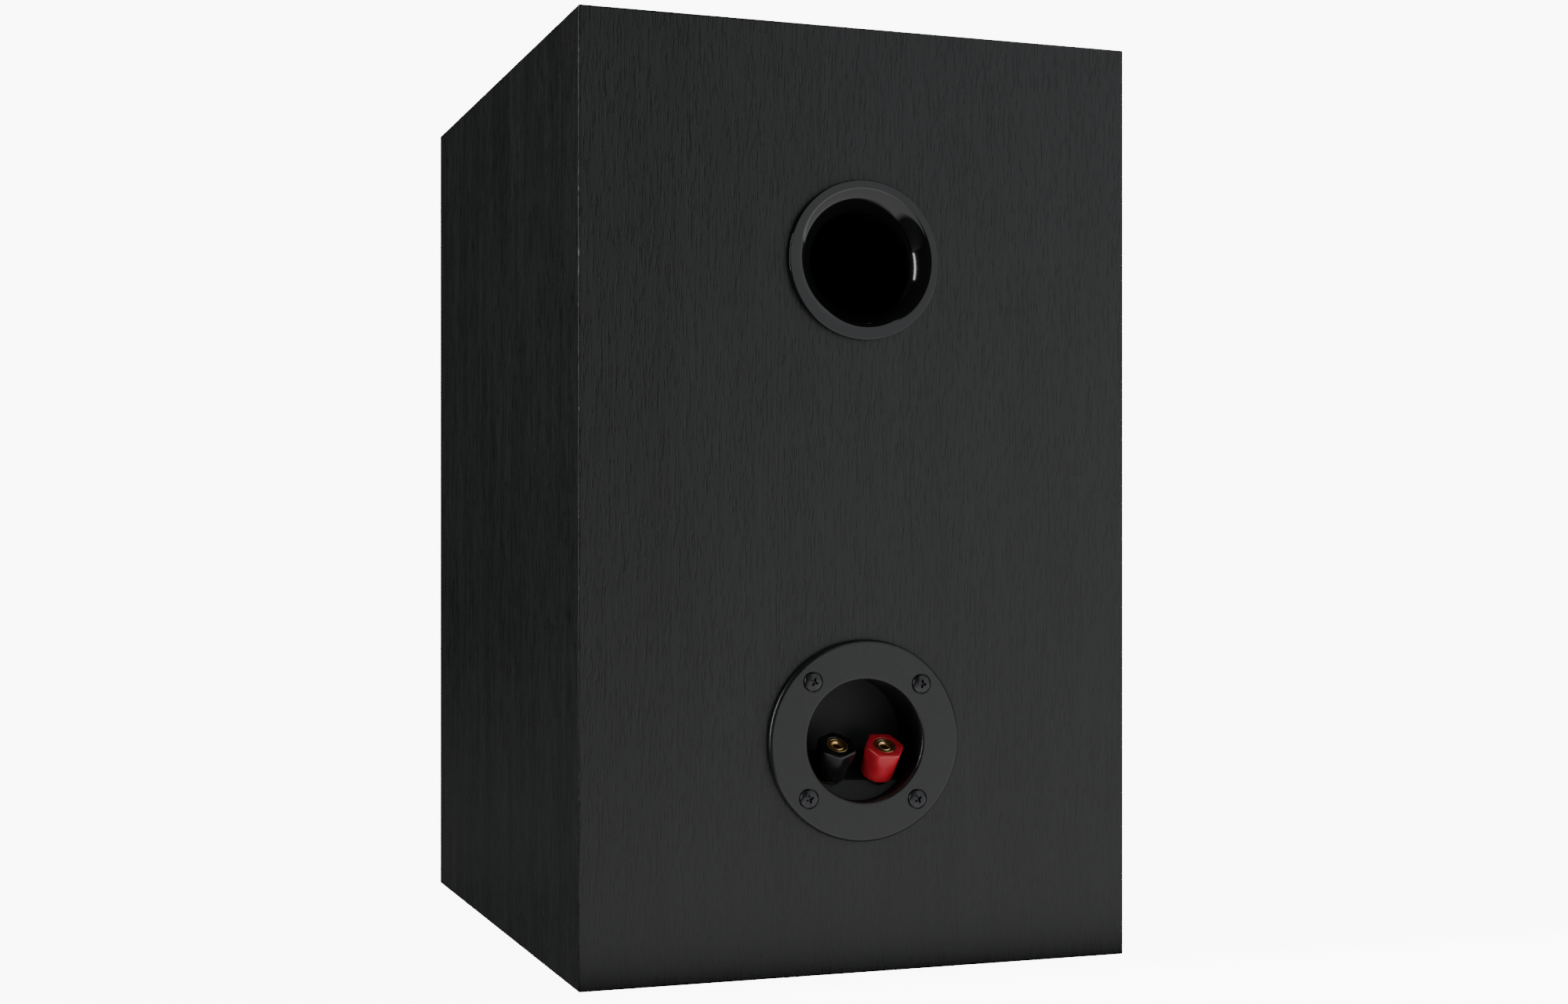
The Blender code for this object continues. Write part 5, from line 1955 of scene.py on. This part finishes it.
    def build_resistor(self, place: Place, tools: Toolbox) -> None:
        """A cement resistor with two legs."""
        outline = rounded_window(5, -19, 19, 0.8, 0.8, 3)
        layers = [(-0.5, -4.5), (-0.15, -4.35), (0, -4), (0, 4), (-0.15, 4.35), (-0.5, 4.5)]
        body = layered("resistor", outline, layers)
        add_piece("resistor_cast", body, CERAMIC, Body.CABINET, ["tweeter_resistor"],
                  shift(*place))
        x, y, z = place
        legs = [tools.sleeve.draw("leg", ZINC, smooth_route([
            (x, y + side * 18.5, z), (x, y + side * 21, z), (x, y + side * 23, z - 1),
            (x, y + side * 24, self.top + 0.1)], 1.2), 0.35, 8) for side in (-1, 1)]
        add_piece("resistor_legs", joined("legs", legs), ZINC, Body.CABINET)


@dataclass
class Leads:
    """The six leads: cup to crossover, crossover to woofer and crossover to tweeter."""

    radius: float = 1.1

    def lead(self, name: str, route: Sequence[Sequence[float]], finish: Finish,
             tools: Toolbox) -> None:
        """One lead in its jacket.

        Args:
            name: the node that it stands for.
            route: the points that it passes.
            finish: its jacket.
            tools: the shared trees.
        """
        mesh = tools.sleeve.draw(name, finish, smooth_route(route), self.radius, 16)
        add_piece(f"{name}_jacket", mesh, finish, Body.CABINET, [name], sharp=50)

    def build(self, cup: TerminalCup, cup_seat: Matrix, tools: Toolbox) -> None:
        """Builds all six."""
        for colour, side, finish in (("red", -1, RED_JACKET), ("black", 1, BLACK_JACKET)):
            seat = cup.post_seat(cup_seat, side)
            tail = [seat @ Vector((0, 0, -reach * MM)) / MM for reach in (9.4, 12.0)]
            self.lead(f"{colour}_input_lead",
                      [*tail, (side * 9.6, 118, 60), (side * 11, 105, 50), (side * 13, 88, 33),
                       (side * 13, 76, 25.4), (side * 13, 71, 24.5)], finish, tools)
            self.lead(f"{colour}_woofer_lead",
                      [(side * 8, -42, 24.5), (side * 8, -60, 27), (side * 7, -85, 33),
                       (side * 6, -100, 42), (side * 5, -108, 53.6)], finish, tools)
        self.lead("red_tweeter_lead",
                  [(-38, -41, 24.5), (-50, -45, 30), (-66, -52, 62), (-72, -60, 112),
                   (-70, -75, 180), (-45, -95, 215), (-20, -104, 232), (-10, -109, 248)],
                  RED_JACKET, tools)
        self.lead("black_tweeter_lead",
                  [(-36, -36, 24.5), (-50, -40, 29), (-67, -46, 62), (-73, -54, 112),
                   (-70, -69, 182), (-43, -89, 219), (-16, -99, 236), (-4, -108.8, 248)],
                  BLACK_JACKET, tools)


# Studio

@dataclass
class Softbox:
    """One soft light, aimed at the speaker.

    Attributes:
        name: its name.
        bearing: degrees from straight behind the speaker, towards its left side (-X).
        distance: metres from the speaker's axis.
        level: height of its middle in metres.
        size: width and height in metres.
        radiance: how bright its face is.
        tint: its colour.
    """

    name: str
    bearing: float
    distance: float
    level: float
    size: tuple[float, float]
    radiance: float
    tint: Colour = (1.0, 1.0, 1.0)

    def build(self, target: Vector) -> None:
        """Places the light.

        Args:
            target: what it is aimed at.
        """
        data = bpy.data.lights.new(self.name, "AREA")
        data.shape = "RECTANGLE"
        data.size, data.size_y = self.size
        data.energy = self.radiance * math.pi * self.size[0] * self.size[1]
        data.color = self.tint
        light = bpy.data.objects.new(self.name, data)
        bpy.context.scene.collection.objects.link(light)
        turn = math.radians(self.bearing)
        light.location = (-self.distance * math.sin(turn), self.distance * math.cos(turn),
                          self.level)
        light.rotation_euler = (target - light.location).to_track_quat("-Z", "Y").to_euler()
        light.visible_camera = False


@dataclass
class Studio:
    """The camera, the pale floor, the surroundings and the lights."""

    eye: Place = (0.2992, 0.9288, 0.1612)
    heading: float = 20.45
    lens: float = 51.45
    shift_x: float = -0.0426
    shift_y: float = 0.0271
    backdrop: float = 9.5
    surround: float = 0.02
    floor_glow: float = 9.5
    # the strength of the painted pool of light on the floor behind the speaker
    painted_light_glow: float = 1.25

    def build_camera(self) -> None:
        """A level camera behind the speaker, to its right."""
        data = bpy.data.cameras.new("camera")
        data.lens, data.shift_x, data.shift_y = self.lens, self.shift_x, self.shift_y
        camera = bpy.data.objects.new("camera", data)
        bpy.context.scene.collection.objects.link(camera)
        turn = math.radians(self.heading)
        forward = Vector((-math.sin(turn), -math.cos(turn), 0))
        camera.location = self.eye
        camera.rotation_euler = forward.to_track_quat("-Z", "Y").to_euler()
        bpy.context.scene.camera = camera

    def build_surroundings(self) -> None:
        """A dim room with a bright backdrop behind the speaker."""
        world = bpy.data.worlds.new("studio")
        world.use_nodes = True
        bpy.context.scene.world = world
        wiring = Wiring(world.node_tree)
        world.node_tree.nodes.clear()
        seen = wiring.node("ShaderNodeLightPath").outputs["Is Camera Ray"]
        room = wiring.node("ShaderNodeBackground", {"Strength": self.surround})
        bright = wiring.node("ShaderNodeBackground", {"Color": (1, 1, 1, 1),
                                                      "Strength": self.backdrop})
        mixed = wiring.node("ShaderNodeMixShader", {0: seen, 1: room.outputs[0],
                                                    2: bright.outputs[0]})
        wiring.node("ShaderNodeOutputWorld", {"Surface": mixed.outputs[0]})

    def build_floor(self) -> None:
        """A wide pale floor just under the speaker, with a painted pool of light behind it: a glowing
        patch for the rear to mirror.
        """
        half = 12.0
        shape = bmesh.new()
        bmesh.ops.create_grid(shape, x_segments=1, y_segments=1, size=half)
        floor = stand_in("floor", to_mesh(shape, "floor", recalculate=False))
        floor.location.z = -0.2 * MM
        material = bpy.data.materials.new("pale_floor")
        material.use_nodes = True
        wiring = Wiring(material.node_tree)
        material.node_tree.nodes.clear()
        seen = wiring.node("ShaderNodeLightPath").outputs["Is Camera Ray"]
        paper = wiring.node("ShaderNodeBsdfDiffuse", {"Color": (0.12, 0.12, 0.12, 1)})
        across, along, _ = wiring.parts(wiring.node("ShaderNodeTexCoord").outputs["Object"])
        # painted light: the floor glows in a patch behind the rear and clear of the right side, a pool
        # of light for the rear panel to mirror
        behind_rear = along.ranged(0.142, 0.18, 0.0, self.painted_light_glow)
        clear_of_side = across.ranged(0.12, 0.18, 1.0, 0.0)
        painted_light_patch = behind_rear * clear_of_side
        glow = wiring.node("ShaderNodeEmission",
                           {"Strength": Field(wiring, seen) * self.floor_glow + painted_light_patch})
        both = wiring.node("ShaderNodeAddShader", {0: paper.outputs[0], 1: glow.outputs[0]})
        wiring.node("ShaderNodeOutputMaterial", {"Surface": both.outputs[0]})
        floor.data.materials.append(material)

    def build_lights(self, target: Vector) -> None:
        """A wide softbox behind, a tall one at the right side, one overhead and a dim fill in front."""
        for softbox in (
                Softbox("wide_softbox", 41, 1.6, 0.85, (2.0, 1.7), 1.05, (0.96, 0.98, 1.0)),
                Softbox("tall_softbox", -85, 1.5, 0.55, (0.42, 1.0), 18.0),
                Softbox("overhead_softbox", 120, 0.8, 2.0, (1.0, 1.0), 1.6),
                Softbox("front_fill", 128, 1.9, 0.9, (1.4, 1.6), 1.2)):
            softbox.build(target)

    def build(self, target: Vector) -> None:
        """Builds the whole studio."""
        self.build_camera()
        self.build_surroundings()
        self.build_floor()
        self.build_lights(target)


def main() -> None:
    """Builds the studio and the speaker, one sub-assembly after another."""
    logging.basicConfig(level=logging.INFO, format="%(name)s: %(message)s")
    low, high = cad_box
    Studio().build((low + high) / 2)
    tools = Toolbox.stocked()
    cabinet = Cabinet()
    cabinet.build(tools)
    Port().build(cabinet.port_seat())
    cup, cup_seat = TerminalCup(), cabinet.cup_seat()
    cup.build_shell(cup_seat, cabinet.cup_screws)
    cup.build_screws(cup_seat, cabinet.cup_screws, tools)
    for side, post in (
            (-1, BindingPost("red", 0, RED_PLASTIC, Body.RED_WASHER, Body.RED_CAP)),
            (1, BindingPost("black", 30, BLACK_PLASTIC, Body.BLACK_WASHER, Body.BLACK_CAP))):
        post.build(cup.post_seat(cup_seat, side), tools)
    Woofer().build(cabinet.driver_seat(cabinet.woofer_z), tools)
    Tweeter().build(cabinet.driver_seat(cabinet.tweeter_z), tools)
    grille = Grille()
    grille.build_frame(cabinet.driver_seat(0), cabinet)
    grille.build_cloth(cabinet.driver_seat(0))
    Crossover().build(tools)
    Leads().build(cup, cup_seat, tools)


if __name__ == "__main__":
    main()
